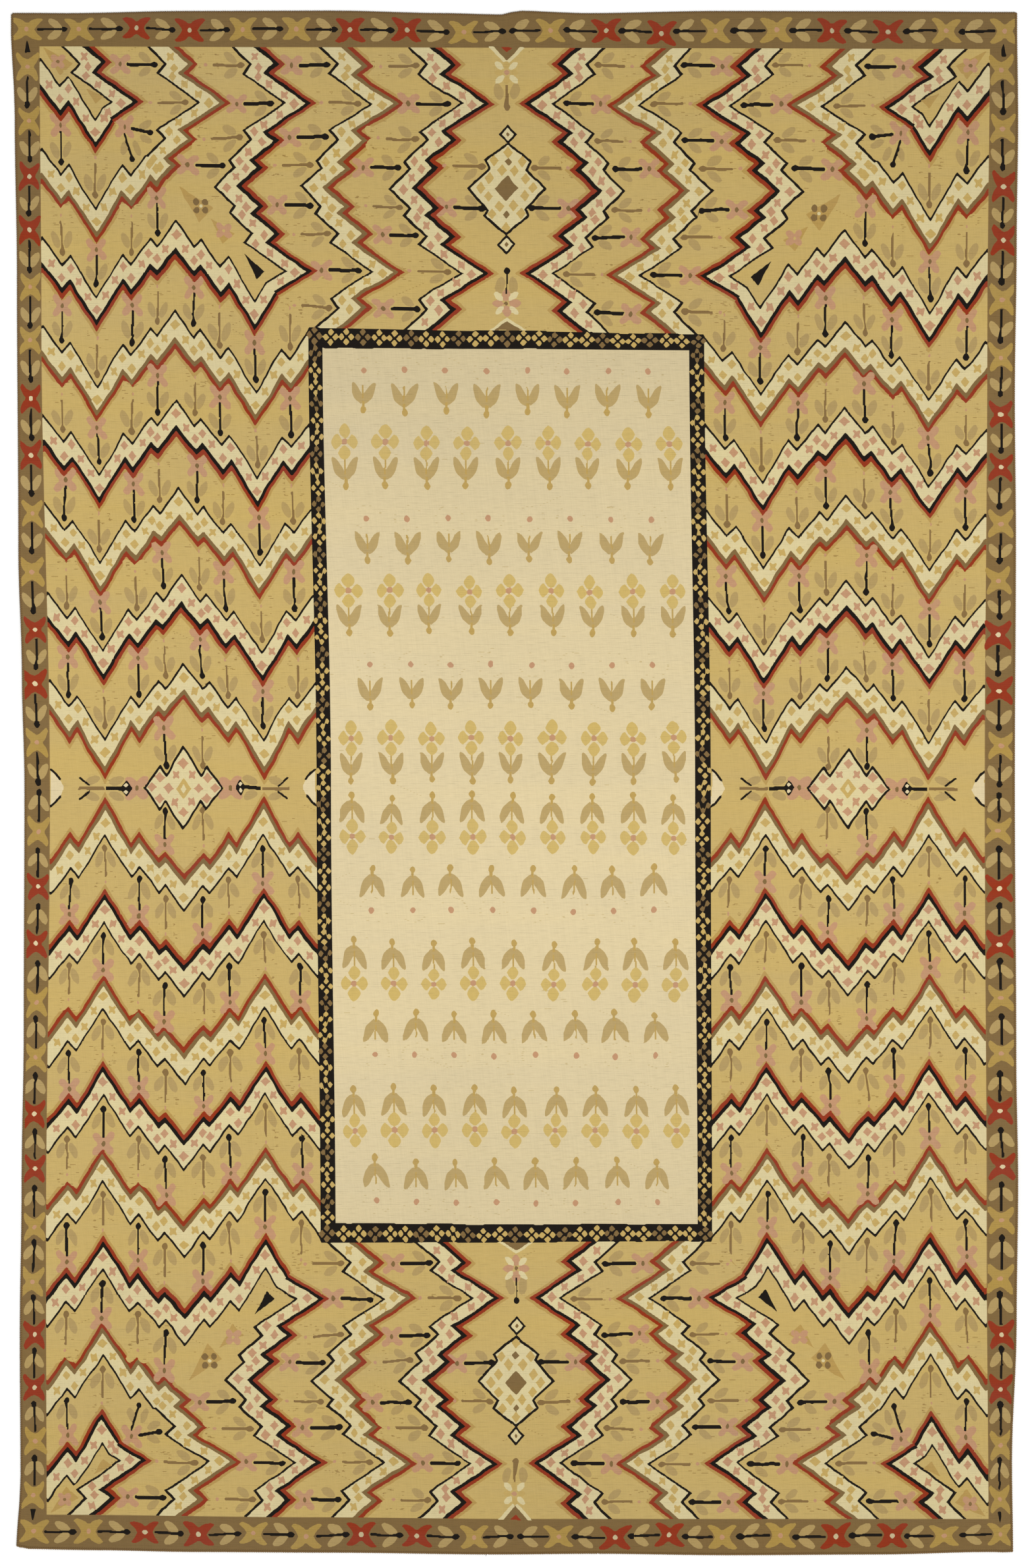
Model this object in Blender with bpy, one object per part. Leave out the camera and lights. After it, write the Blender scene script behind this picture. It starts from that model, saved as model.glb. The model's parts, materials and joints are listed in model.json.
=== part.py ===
"""A large flat-woven tapestry rug, lying flat: one wool web about 3 mm thick.

Metres, +Z up. The rug lies on the plane z = 0, its length runs along Y and its
width along X. The origin is under the middle of its outline. The web is hand
woven, so its edges wander: each side is given as a few places along it and how
far the cloth draws in there from a true rectangle.
"""

import math

import bpy

# Driving dimensions.
RUG_WIDTH = 2.788
RUG_LENGTH = 4.28
WEB_THICKNESS = 0.003
CORNER_RADIUS = 0.006
STEP_ALONG_EDGE = 0.07
MERGE_DISTANCE = 0.00005

# How far each side draws in from the rectangle, as (share along the side, metres in).
# Left and right run from the lower end to the upper end of the rug.
LEFT_DRAWS_IN = (
    (0.00, 0.016), (0.05, 0.028), (0.14, 0.026), (0.24, 0.031), (0.34, 0.037),
    (0.50, 0.039), (0.57, 0.032), (0.65, 0.022), (0.83, 0.018), (0.93, 0.012), (1.00, 0.000),
)
RIGHT_DRAWS_IN = (
    (0.00, 0.014), (0.06, 0.017), (0.15, 0.004), (0.24, 0.000), (0.32, 0.005),
    (0.50, 0.009), (0.66, 0.006), (0.75, 0.009), (0.85, 0.004), (0.93, 0.000), (1.00, 0.003),
)
# Lower and upper run from left to right. The upper end has a small kink at its middle.
LOWER_DRAWS_IN = (
    (0.00, 0.018), (0.08, 0.014), (0.18, 0.009), (0.32, 0.007), (0.48, 0.002),
    (0.58, 0.004), (0.71, 0.000), (0.86, 0.002), (0.97, 0.009), (1.00, 0.007),
)
UPPER_DRAWS_IN = (
    (0.00, 0.007), (0.06, 0.008), (0.18, 0.002), (0.33, 0.001), (0.44, 0.008),
    (0.498, 0.012), (0.508, 0.001), (0.58, 0.008), (0.71, 0.002), (0.86, 0.003), (1.00, 0.005),
)

WOOL_COLOUR = (0.42, 0.31, 0.15, 1.0)
WOOL_ROUGHNESS = 0.95


def clear_scene():
    """Remove whatever the new file holds."""
    for thing in list(bpy.data.objects):
        bpy.data.objects.remove(thing, do_unlink=True)


def draw_in_at(stations, share):
    """How far the cloth draws in at a share of the side, eased between its stations."""
    for (share_a, in_a), (share_b, in_b) in zip(stations, stations[1:]):
        if share <= share_b:
            part = (share - share_a) / (share_b - share_a)
            eased = 0.5 - 0.5 * math.cos(math.pi * part)
            return in_a + (in_b - in_a) * eased
    return stations[-1][1]


def side_points(start, end, inward, stations):
    """Points along one side, without its last corner."""
    length = math.dist(start, end)
    steps = round(length / STEP_ALONG_EDGE)
    shares = [i / steps for i in range(steps)]
    shares += [share for share, _ in stations[:-1]]
    points = []
    for share in sorted(set(shares)):
        draw_in = draw_in_at(stations, share)
        x = start[0] + (end[0] - start[0]) * share + inward[0] * draw_in
        y = start[1] + (end[1] - start[1]) * share + inward[1] * draw_in
        points.append((x, y))
    return points


def rug_outline():
    """The rug's outline, anticlockwise from its lower left corner, centred on its own box."""
    half_width = RUG_WIDTH / 2
    half_length = RUG_LENGTH / 2
    lower_left = (-half_width, -half_length)
    lower_right = (half_width, -half_length)
    upper_right = (half_width, half_length)
    upper_left = (-half_width, half_length)
    lower = side_points(lower_left, lower_right, (0, 1), LOWER_DRAWS_IN)
    right = side_points(lower_right, upper_right, (-1, 0), RIGHT_DRAWS_IN)
    upper = side_points(upper_left, upper_right, (0, -1), UPPER_DRAWS_IN)
    left = side_points(lower_left, upper_left, (1, 0), LEFT_DRAWS_IN)
    corners = (
        (-half_width + LEFT_DRAWS_IN[0][1], -half_length + LOWER_DRAWS_IN[0][1]),
        (half_width - RIGHT_DRAWS_IN[0][1], -half_length + LOWER_DRAWS_IN[-1][1]),
        (half_width - RIGHT_DRAWS_IN[-1][1], half_length - UPPER_DRAWS_IN[-1][1]),
        (-half_width + LEFT_DRAWS_IN[-1][1], half_length - UPPER_DRAWS_IN[0][1]),
    )
    sides = (lower[1:], right[1:], upper[:0:-1], left[:0:-1])
    outline = []
    for index, corner in enumerate(corners):
        before = sides[index - 1][-1]
        after = sides[index][0]
        outline += rounded_corner(before, corner, after)
        outline += sides[index]
    middle_x = (min(x for x, _ in outline) + max(x for x, _ in outline)) / 2
    middle_y = (min(y for _, y in outline) + max(y for _, y in outline)) / 2
    return [(x - middle_x, y - middle_y) for x, y in outline]


def rounded_corner(before, corner, after, steps=4):
    """A soft corner: points on a small curve that leaves both sides at one distance."""
    start = towards(corner, before, CORNER_RADIUS)
    end = towards(corner, after, CORNER_RADIUS)
    points = []
    for i in range(steps + 1):
        t = i / steps
        x = (1 - t) ** 2 * start[0] + 2 * t * (1 - t) * corner[0] + t * t * end[0]
        y = (1 - t) ** 2 * start[1] + 2 * t * (1 - t) * corner[1] + t * t * end[1]
        points.append((x, y))
    return points


def towards(place, aim, distance):
    """The point at a distance from place, in the direction of aim."""
    share = distance / math.dist(place, aim)
    return (place[0] + (aim[0] - place[0]) * share, place[1] + (aim[1] - place[1]) * share)


def wool_material():
    """Undyed wool of the web's middle tone."""
    material = bpy.data.materials.new("wool")
    material.use_nodes = True
    shader = material.node_tree.nodes["Principled BSDF"]
    shader.inputs["Base Color"].default_value = WOOL_COLOUR
    shader.inputs["Roughness"].default_value = WOOL_ROUGHNESS
    shader.inputs["Metallic"].default_value = 0.0
    return material


def build_rug(collection):
    """The web as a flat curve, filled and given its thickness, with its underside at z = 0."""
    curve = bpy.data.curves.new("rug", "CURVE")
    curve.dimensions = "2D"
    curve.fill_mode = "BOTH"
    curve.extrude = WEB_THICKNESS / 2
    outline = rug_outline()
    spline = curve.splines.new("POLY")
    spline.points.add(len(outline) - 1)
    for point, (x, y) in zip(spline.points, outline):
        point.co = (x, y, 0.0, 1.0)
    spline.use_cyclic_u = True
    curve.materials.append(wool_material())
    rug = bpy.data.objects.new("rug", curve)
    rug.location.z = WEB_THICKNESS / 2
    collection.objects.link(rug)
    weld = rug.modifiers.new("close the edges", "WELD")
    weld.merge_threshold = MERGE_DISTANCE
    return rug


def main():
    clear_scene()
    collection = bpy.data.collections.new("tapestry rug")
    bpy.context.scene.collection.children.link(collection)
    build_rug(collection)


main()
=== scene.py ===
# %% [markdown]
# # A flat-woven tapestry rug
# The real rug is one cloth of wool, about 2.8 by 4.3 metres and 3 millimetres thick.
# It was woven sideways: strong warps run across it and never show. Coloured wefts run
# along it, packed so tight that they hide the warps, and each colour turns back where its
# shape ends. So the pattern is made of whole warps and whole picks, with stepped edges,
# and each warp shows as a rib. It could be painted on one flat sheet, but then the steps
# and the ribs would be missing. Here the rug is planned as a weaver plans it, warp by warp
# and pick by pick, and then made as a mesh.

# %% The frame
import json
import math

import bmesh
import bpy
import numpy as np
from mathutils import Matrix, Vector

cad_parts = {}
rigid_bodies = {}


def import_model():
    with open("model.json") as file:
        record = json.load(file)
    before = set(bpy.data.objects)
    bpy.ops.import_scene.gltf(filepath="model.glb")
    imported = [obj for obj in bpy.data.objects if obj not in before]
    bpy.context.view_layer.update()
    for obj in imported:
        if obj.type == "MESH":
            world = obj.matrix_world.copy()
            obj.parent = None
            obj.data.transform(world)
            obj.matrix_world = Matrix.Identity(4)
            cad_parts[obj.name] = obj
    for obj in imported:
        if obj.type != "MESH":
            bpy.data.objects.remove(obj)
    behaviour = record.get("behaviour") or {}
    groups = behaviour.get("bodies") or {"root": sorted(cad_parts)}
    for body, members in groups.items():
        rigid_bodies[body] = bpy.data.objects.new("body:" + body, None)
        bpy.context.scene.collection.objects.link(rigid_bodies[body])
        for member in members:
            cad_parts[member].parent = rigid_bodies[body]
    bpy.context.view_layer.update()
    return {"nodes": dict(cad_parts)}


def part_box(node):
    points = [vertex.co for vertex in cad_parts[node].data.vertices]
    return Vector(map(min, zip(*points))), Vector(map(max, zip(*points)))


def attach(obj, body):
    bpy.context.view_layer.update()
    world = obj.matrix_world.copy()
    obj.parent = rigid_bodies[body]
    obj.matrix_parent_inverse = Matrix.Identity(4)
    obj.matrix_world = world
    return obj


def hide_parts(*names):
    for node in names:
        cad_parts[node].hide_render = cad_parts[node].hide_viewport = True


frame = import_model()

# %% [markdown]
# ## The wools
# A weaver dyes a few lots of yarn and uses them again and again. Each colour here is one
# dyed wool, written as the screen colour that it has in daylight. The two slit colours are
# not wools but painted shadow: the thin dark gaps where two areas of one wool part between
# two warps.

# %% The dyed wools
WOOLS = {
    "gold": (195, 168, 103),
    "deep_gold": (179, 147, 84),
    "ivory": (213, 198, 150),
    "cream": (222, 204, 161),
    "black": (27, 22, 17),
    "red": (145, 55, 31),
    "taupe": (126, 101, 62),
    "rose": (188, 144, 109),
    "petal_gold": (170, 140, 74),
    "straw": (192, 163, 96),
    "leaf": (174, 148, 95),
    "panel_petal": (200, 173, 103),
    "panel_leaf": (180, 155, 102),
    "bulb": (183, 153, 88),
    "stem": (133, 106, 65),
    # The two slit colours are painted shadow: the dark of a slit in the gold and in the cream ground.
    "gold_slit_shadow": (160, 131, 76),
    "cream_slit_shadow": (203, 182, 134),
}
WOOL = {name: index for index, name in enumerate(WOOLS)}
print(len(WOOLS), "wools")

# %% [markdown]
# ## The cartoon
# A tapestry weaver works from a cartoon, a full-size plan behind the warps. This one is a
# grid with three rows for each warp and a column for each pair of picks, and each cell
# holds the wool that shows there. Its sizes are millimetres from the rug's middle on an
# ideal, square rug: the drift of the hand-made one comes later. Later shapes cover earlier
# ones.

# %% The grid and the main lines of the design
HALF_WIDTH, HALF_LENGTH = 1378.5, 2137.0
FIELD_X, FIELD_Y = 1305.4, 2042.2
FRAME_X, FRAME_Y = 546.7, 1283.0
PANEL_X, PANEL_Y = 505.5, 1233.0
WARPS, ROWS_A_WARP = 700, 3
COLUMNS, ROWS = 1212, WARPS * ROWS_A_WARP
CELL_X = 2 * HALF_WIDTH / COLUMNS
CELL_Y = 2 * HALF_LENGTH / ROWS
COLUMN_X = (np.arange(COLUMNS) + 0.5) * CELL_X - HALF_WIDTH
ROW_Y = (np.arange(ROWS) + 0.5) * CELL_Y - HALF_LENGTH
cartoon = np.zeros((ROWS, COLUMNS), np.uint8)
hand = np.random.default_rng(1909)
print(f"warps every {ROWS_A_WARP * CELL_Y:.2f} mm, pairs of picks every {CELL_X:.2f} mm")

# %% [markdown]
# No line of a hand-made cartoon is quite straight. A soft random field over the whole cloth
# moves the place that each cell reads, so that edges wander by a warp or a pick or two.


# %% Wandering lines
def soft_noise(seed, wavelength, amplitude):
    """A smooth field over the whole cloth, from random values on a coarse net."""
    rng = np.random.default_rng(seed)
    across = int(2 * HALF_WIDTH / wavelength) + 3
    along = int(2 * HALF_LENGTH / wavelength) + 3
    net = rng.uniform(-amplitude, amplitude, (along, across))
    at_x = (COLUMN_X + HALF_WIDTH) / wavelength
    at_y = (ROW_Y + HALF_LENGTH) / wavelength
    ix, iy = at_x.astype(int), at_y.astype(int)
    fx, fy = at_x - ix, (at_y - iy)[:, None]
    fx = fx * fx * (3 - 2 * fx)
    fy = fy * fy * (3 - 2 * fy)
    low = net[iy][:, ix] * (1 - fx) + net[iy][:, ix + 1] * fx
    high = net[iy + 1][:, ix] * (1 - fx) + net[iy + 1][:, ix + 1] * fx
    return low * (1 - fy) + high * fy


wander_x = soft_noise(11, 90.0, 3.6) + soft_noise(12, 24.0, 1.6)
wander_y = soft_noise(13, 90.0, 3.6) + soft_noise(14, 24.0, 1.6)
cloth_x = COLUMN_X[None, :] + wander_x
cloth_y = ROW_Y[:, None] + wander_y


def paint(mask, wool):
    cartoon[mask] = WOOL[wool]


print(f"lines wander by up to {np.abs(wander_x).max():.1f} mm")

# %% [markdown]
# ## Motifs
# Flowers, leaves and pins come hundreds of times, each a little different. A stamp is a
# small window of the grid with its own axes, so a motif is written once, upright, and
# stamped turned to any side. The hand's slips are in the stamp: each one shifts, leans and
# grows by a little.


# %% A stamp for motifs
class Stamp:
    """A window of the cloth round one motif, with its own axes: u to its right, v up."""

    TURNS = {"N": (1, 0, 0, 1), "S": (-1, 0, 0, -1), "E": (0, -1, 1, 0), "W": (0, 1, -1, 0)}

    def __init__(self, x, y, up="N", reach=110.0, slip=1.6, flip=1):
        self.x = x + hand.uniform(-slip, slip)
        self.y = y + hand.uniform(-slip, slip)
        grow = 1 + 0.025 * hand.uniform(-slip, slip)
        lean = 0.018 * hand.uniform(-slip, slip)
        left, right = np.searchsorted(COLUMN_X, (self.x - reach, self.x + reach))
        low, high = np.searchsorted(ROW_Y, (self.y - reach, self.y + reach))
        self.window = (slice(low, high), slice(left, right))
        dx = (cloth_x[self.window] - self.x) / grow
        dy = (cloth_y[self.window] - self.y) / grow
        dx, dy = dx + lean * dy, dy - lean * dx
        self.turn = self.TURNS[up]
        ux, uy, vx, vy = self.turn
        self.flip = flip
        self.u = (ux * dx + uy * dy) * flip
        self.v = vx * dx + vy * dy

    def spot(self, u, v):
        """The cloth's x and y at a place of the motif."""
        ux, uy, vx, vy = self.turn
        u *= self.flip
        return self.x + ux * u + vx * v, self.y + uy * u + vy * v

    def put(self, mask, wool):
        cartoon[self.window][mask] = WOOL[wool]

    def oval(self, u, v, half_u, half_v, wool, turn=0.0, power=2.0):
        cos, sin = math.cos(math.radians(turn)), math.sin(math.radians(turn))
        a = np.abs((self.u - u) * cos + (self.v - v) * sin) / half_u
        b = np.abs((self.v - v) * cos - (self.u - u) * sin) / half_v
        self.put(a ** power + b ** power < 1, wool)

    def lozenge(self, u, v, half_u, half_v, wool, power=1.0):
        self.oval(u, v, half_u, half_v, wool, power=power)

    def bar(self, u0, u1, v0, v1, wool):
        self.put((self.u > u0) & (self.u < u1) & (self.v > v0) & (self.v < v1), wool)

    def shape(self, corners, wool):
        """A polygon, by counting the sides that a line to the right crosses."""
        inside = np.zeros(self.u.shape, bool)
        for (u0, v0), (u1, v1) in zip(corners, corners[1:] + corners[:1]):
            if v0 == v1:
                continue
            crosses = (self.v > min(v0, v1)) & (self.v <= max(v0, v1))
            at = u0 + (self.v - v0) * (u1 - u0) / (v1 - v0)
            inside ^= crosses & (self.u < at)
        self.put(inside, wool)

    def line(self, places, half, wool, closed=False):
        """A line of one thickness through some places."""
        ends = places[1:] + places[:1] if closed else places[1:]
        for (u0, v0), (u1, v1) in zip(places, ends):
            run_u, run_v = u1 - u0, v1 - v0
            share = ((self.u - u0) * run_u + (self.v - v0) * run_v) / (run_u ** 2 + run_v ** 2)
            share = np.clip(share, 0, 1)
            gap = np.hypot(self.u - u0 - share * run_u, self.v - v0 - share * run_v)
            self.put(gap < half, wool)


def both_ways(places):
    """An outline's right half, from top to bottom, and its mirror image."""
    return places + [(-u, v) for u, v in reversed(places) if u]


# %% [markdown]
# ## The zigzag bands
# Bands of zigzags run round the field in parallel, nearer and nearer to its middle. All
# have one profile: it climbs in three steps from a valley to an apex and comes down again.
# So one function of the place along a side gives every band, and the distance from the
# rug's edge tells which band a cell is in and how deep. On the long sides, called the
# flanks, the bands run across. In the panels at the ends they run along, and the diagonal
# of each corner parts the two. Each band is a thin black line, ivory, a thick line, red and
# a shade of the ground. The innermost band of a flank has a longer point at its valleys.

# %% Zigzag bands
BAND_SPACING = 244.0
FIRST_BAND = 199.0
TURN_PERIOD = 452.0
FIRST_VALLEY = 156.0
STEP_ALONG = (0.0, 75.0, 99.0, 154.0, 173.0, 226.0)
STEP_RISE = {
    "flank": (0.0, 121.0, 91.0, 165.5, 146.5, 214.0),
    "panel": (0.0, 120.0, 90.0, 160.0, 138.0, 198.0),
}
THIN_LINE_RISE = {
    "flank": (1.0, 120.0, 93.0, 166.0, 145.0, 215.0),
    "panel": (0.0, 115.0, 94.0, 154.5, 140.5, 198.0),
}
END_SHIFT, END_CROWDING = 3.0, 10.0
FLANK_BANDS, PANEL_BANDS = 8, 5
THIN_LINE = {"flank": 9.0, "panel": 10.0}
THICK_LINE, RED_LINE, SHADE_LINE = 16.0, 15.5, 13.0
LAST_POINT_IVORY, LAST_POINT_THICK, LAST_POINT_RED = 9.0, 12.0, 15.0
IVORY_AT_VALLEY = {"flank": 67.0, "panel": 65.5}
IVORY_AT_APEX = {"flank": 72.0, "panel": 66.0}


def rise_at(along, kind, steps=STEP_RISE):
    """How far a band has climbed towards the rug's edge at a place along it."""
    if kind == "panel":
        along = along + END_SHIFT + END_CROWDING * np.clip(1 - along / FIRST_VALLEY, 0, 1)
    from_valley = np.abs((along - FIRST_VALLEY + TURN_PERIOD / 2) % TURN_PERIOD - TURN_PERIOD / 2)
    return np.interp(from_valley, STEP_ALONG, steps[kind])


def ivory_at(rise, kind):
    """How deep the ivory of a band is: a little more at its apex."""
    more_at_apex = IVORY_AT_APEX[kind] - IVORY_AT_VALLEY[kind]
    return IVORY_AT_VALLEY[kind] + more_at_apex * rise / STEP_RISE[kind][-1]


side = FIELD_X - np.abs(cloth_x)
end = FIELD_Y - np.abs(cloth_y)
flank = end > side
rise = np.where(flank, rise_at(side, "flank"), rise_at(end, "panel"))
thin_rise = np.where(
    flank,
    rise_at(side, "flank", THIN_LINE_RISE),
    rise_at(end, "panel", THIN_LINE_RISE),
)
level = np.where(flank, end, side) + thin_rise - FIRST_BAND
field = (np.abs(COLUMN_X)[None, :] < FIELD_X) & (np.abs(ROW_Y)[:, None] < FIELD_Y)
number = np.floor(level / BAND_SPACING).astype(int) + 1
within = level - BAND_SPACING * (number - 1)
banded = field & (number >= 1) & (number <= np.where(flank, FLANK_BANDS, PANEL_BANDS))
odd = number % 2 == 1
ivory_end = np.where(flank, ivory_at(rise, "flank"), ivory_at(rise, "panel"))
ivory_end += thin_rise - rise
last_point = np.clip(1 - rise / STEP_RISE["flank"][1], 0, 1) * (flank & (number == FLANK_BANDS))
thick_end = ivory_end + THICK_LINE + LAST_POINT_THICK * last_point
red_end = ivory_end + THICK_LINE + RED_LINE + LAST_POINT_RED * last_point
ivory_end += LAST_POINT_IVORY * last_point
thin_end = np.where(flank, THIN_LINE["flank"], THIN_LINE["panel"])
shade_end = red_end + SHADE_LINE
print("bands on each flank and in each panel's half:", FLANK_BANDS, PANEL_BANDS)

# %% [markdown]
# ## Pins of the field
# Between the bands stand rows of pins: a round head in each notch, a straight stem, two
# leaves, and a four-petalled flower. Every second one is in full colour. The others are
# ghosts, woven in the wool of the ground, and only slits show where their petals are.

# %% Places of the pins
PIN_PLACES = {
    "flank": (57.0, 156.0, 255.0, 329.0, 435.0, 509.0, 608.0, 707.0),
    "panel": (49.0, 152.0, 247.0, 321.0, 431.0, 505.0, 604.0, 703.0),
}
HEAD_OVER_LINE = {"flank": 31.0, "panel": 25.0}
HEAD_OVER_VALLEY = {"flank": 34.0, "panel": 31.0}
VALLEY_PLACES = (1, 6)
FLOWER_UNDER_LINE = {"flank": 113.0, "panel": 122.0}
LAST_ROW_PLACES = (3, 4)
LAST_ROW_SHIFT = {"flank": 6.0, "panel": -16.0}
ROOM_AT_DIAGONAL = 125.0
SHARED_FLOWER = (1, 2)
CORNERS = ((-1, 1), (1, 1), (-1, -1), (1, -1))


def band_place(kind, sx, sy, along, depth):
    """Cloth x and y, and the way out, for a place along a band and a depth from the edge."""
    if kind == "flank":
        return sx * (FIELD_X - along), sy * (FIELD_Y - depth), "N" if sy > 0 else "S"
    return sx * (FIELD_X - depth), sy * (FIELD_Y - along), "E" if sx > 0 else "W"


def pins_of_the_field():
    """Each pin's stamp at its head, with its row, place, kind and length."""
    for sx, sy in CORNERS:
        for kind, rows in (("flank", FLANK_BANDS), ("panel", PANEL_BANDS)):
            for row in range(1, rows + 1):
                for place, along in enumerate(PIN_PLACES[kind]):
                    if row == rows and place not in LAST_ROW_PLACES:
                        continue
                    line = FIRST_BAND - rise_at(along, kind) + BAND_SPACING * (row - 1)
                    over = (HEAD_OVER_VALLEY if place in VALLEY_PLACES else HEAD_OVER_LINE)[kind]
                    under = FLOWER_UNDER_LINE["flank" if place in VALLEY_PLACES else kind]
                    shift = LAST_ROW_SHIFT[kind] if row == rows else 0.0
                    flower, head = line + under + shift, line + BAND_SPACING - over + shift
                    if line + ROOM_AT_DIAGONAL < along or (row, place) == SHARED_FLOWER:
                        continue
                    x, y, out = band_place(kind, sx, sy, along, head)
                    yield Stamp(x, y, out, reach=150.0), row, place, kind, head - flower


pins = list(pins_of_the_field())
print(len(pins), "pins")


# %% A pin's leaves, stem and flower
LEAF_TURN = {"flank": 68.0, "panel": 55.0}
LEAF_PLACE = {"flank": (18.0, 33.0), "panel": (20.0, 29.0)}
LEAF_HALF_SIZE = {"flank": (24.0, 11.0), "panel": (21.0, 11.0)}
STEM_HALF_WIDTH = {"flank": 3.2, "panel": 4.8}
GHOST_HALF_WIDTH = {"flank": 2.8, "panel": 3.7}
STEM_TO_HEART = {"flank": 15.0, "panel": 19.0}
HEART_HALF_SIZE = {"flank": (5.0, 7.8), "panel": (7.6, 5.4)}
GHOST_HEART_HALF_SIZE = {"flank": (2.6, 6.0), "panel": (5.0, 5.0)}
HEAD_HALF_SIZE = (8.2, 10.6)
ROUNDNESS = 1.8


def field_leaves(pin, kind):
    (u, v), half_size = LEAF_PLACE[kind], LEAF_HALF_SIZE[kind]
    for way in (-1, 1):
        pin.oval(way * u, v, *half_size, "leaf", turn=way * LEAF_TURN[kind], power=ROUNDNESS)


def stem_and_head(pin, kind, length, bloom):
    half = (STEM_HALF_WIDTH if bloom else GHOST_HALF_WIDTH)[kind]
    wool = "black" if bloom else "stem"
    pin.bar(-half, half, 0, length - STEM_TO_HEART[kind], wool)
    pin.oval(0, 1.0, *HEAD_HALF_SIZE, wool, power=ROUNDNESS)


def four_petals(stamp, petal, u, v, wool, size=1.0):
    """A petal's outline, from the flower's middle, mirrored both ways."""
    for du in (-size, size):
        for dv in (-size, size):
            stamp.shape([(u + du * a, v + dv * b) for a, b in petal], wool)


PINK_SIZE = {"flank": 0.95, "panel": 0.88}
PINK_PETAL = [
    (0, 0), (0, 16), (8, 21), (13, 30), (21, 34),
    (29, 31), (31, 23), (26, 11), (18, 5), (17, 0),
]
GOLD_PETAL_PLACE, GOLD_PETAL_HALF_SIZE, GOLD_PETAL_TURN = (15.0, 17.0), (20.0, 13.0), 50.0
GOLD_PETAL_PLACES = (0, 2)


def pink_flower(pin, v, u=0.0, size=PINK_SIZE["flank"]):
    four_petals(pin, PINK_PETAL, u, v, "rose", size)


def gold_petals(pin, v):
    """Two petals in the ground's own wool, which show only over the red."""
    u, up = GOLD_PETAL_PLACE
    for way in (-1, 1):
        pin.oval(way * u, v + up, *GOLD_PETAL_HALF_SIZE, "gold", turn=way * GOLD_PETAL_TURN)


def is_bloom(row, place):
    return (row + place) % 2 == 1


# %% [markdown]
# In the odd bands the thick line is black and the red covers the tips of the flowers. In
# the even ones it is taupe, and the flowers stand over the red. So the order of painting
# matters: grounds first, then the flowers and lines one over the other.

# %% Paint the grounds, the bands and the pins
CORNER_REACH = 700.0
CORNER_FLOWER_PLACE = (239.0, 219.0)
corner_stamps = [
    Stamp(sx * FIELD_X, sy * FIELD_Y, "S" if sy > 0 else "N", CORNER_REACH, slip=0.0, flip=sx * sy)
    for sx, sy in CORNERS
]
paint(np.ones_like(field), "taupe")
paint(field, "gold")
paint(banded & (within < shade_end), "deep_gold")
for pin, row, place, kind, length in pins:
    if is_bloom(row, place) and row % 2 == 1:
        pink_flower(pin, length, size=PINK_SIZE[kind])
for corner in corner_stamps:
    pink_flower(corner, u=CORNER_FLOWER_PLACE[0], v=CORNER_FLOWER_PLACE[1])
paint(banded & (within < red_end), "red")
for pin, row, place, kind, length in pins:
    if row % 2 == 0 and is_bloom(row, place):
        pink_flower(pin, length, size=PINK_SIZE[kind])
    if row % 2 == 0 and not is_bloom(row, place) and place in GOLD_PETAL_PLACES:
        gold_petals(pin, length)
paint(banded & odd & (within < thick_end), "black")
paint(banded & ~odd & (within < thick_end), "taupe")
paint(banded & (within < ivory_end), "ivory")
paint(banded & (within < thin_end), "black")
for pin, row, place, kind, length in pins:
    field_leaves(pin, kind)
    bloom = is_bloom(row, place)
    stem_and_head(pin, kind, length, bloom)
    if bloom:
        pin.oval(0, length, *HEART_HALF_SIZE[kind], "taupe")
    else:
        pin.oval(0, length, *GHOST_HEART_HALF_SIZE[kind], "rose")

# %% [markdown]
# ## Small motifs inside the bands
# The ivory of each band carries a row of small four-pointed stars and of bows, rose in the
# odd bands and straw yellow in the even ones. They follow the zigzag by the same function.

# %% Stars and bows
BAND_STARS = (0.0, 75.0, 99.0, 151.0, 172.6, 226.0)
BAND_BOWS = (25.0, 52.0, 129.0, 196.0)
TURNING_STARS = (0.0, 226.0)
WIDTH_AT_TURN, WIDTH_ON_SLOPE = 1.1, 0.88
FLANK_WIDTH = FIELD_X - FRAME_X
FIRST_MOTIF, LAST_MOTIF = 8.0, FLANK_WIDTH - 6.0
BOW_SIDE = [(-9.5, 8), (-7, 13.5), (-1, 7.5), (4.5, 8.5), (8, 13.5), (10.5, 7), (7, 0)]
BOW = BOW_SIDE + [(-u, -v) for u, v in BOW_SIDE]
STAR = {"rose": (14.5, 16.0, 0.85), "straw": (13.5, 14.5, 1.0)}


def star(x, y, wool, wide=1.0):
    """Four points: the rose ones with hollow sides, the straw ones with straight sides."""
    half_x, half_y, power = STAR[wool]
    Stamp(x, y, reach=34.0).lozenge(0, 0, half_x * wide, half_y, wool, power=power)


def bow(x, y, climb, wool):
    """A narrow waist between four pointed corners, leaning the way that the band climbs."""
    Stamp(x, y, reach=30.0, flip=climb).shape(BOW, wool)


def band_motif_places():
    """Each place along a zigzag, whether it holds a star, how wide, and which way it climbs."""
    for half in range(-1, 4):
        for offset in sorted(BAND_STARS + BAND_BOWS):
            climbs, turning = half % 2 == 0, offset in TURNING_STARS
            if climbs:
                along = FIRST_VALLEY + TURN_PERIOD / 2 * half + offset
            else:
                along = FIRST_VALLEY + TURN_PERIOD / 2 * (half + 1) - offset
            if turning and not climbs or not FIRST_MOTIF < along < LAST_MOTIF:
                continue
            wide = WIDTH_AT_TURN if turning else WIDTH_ON_SLOPE
            yield along, offset in BAND_STARS, wide, 1 if climbs else -1


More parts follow.
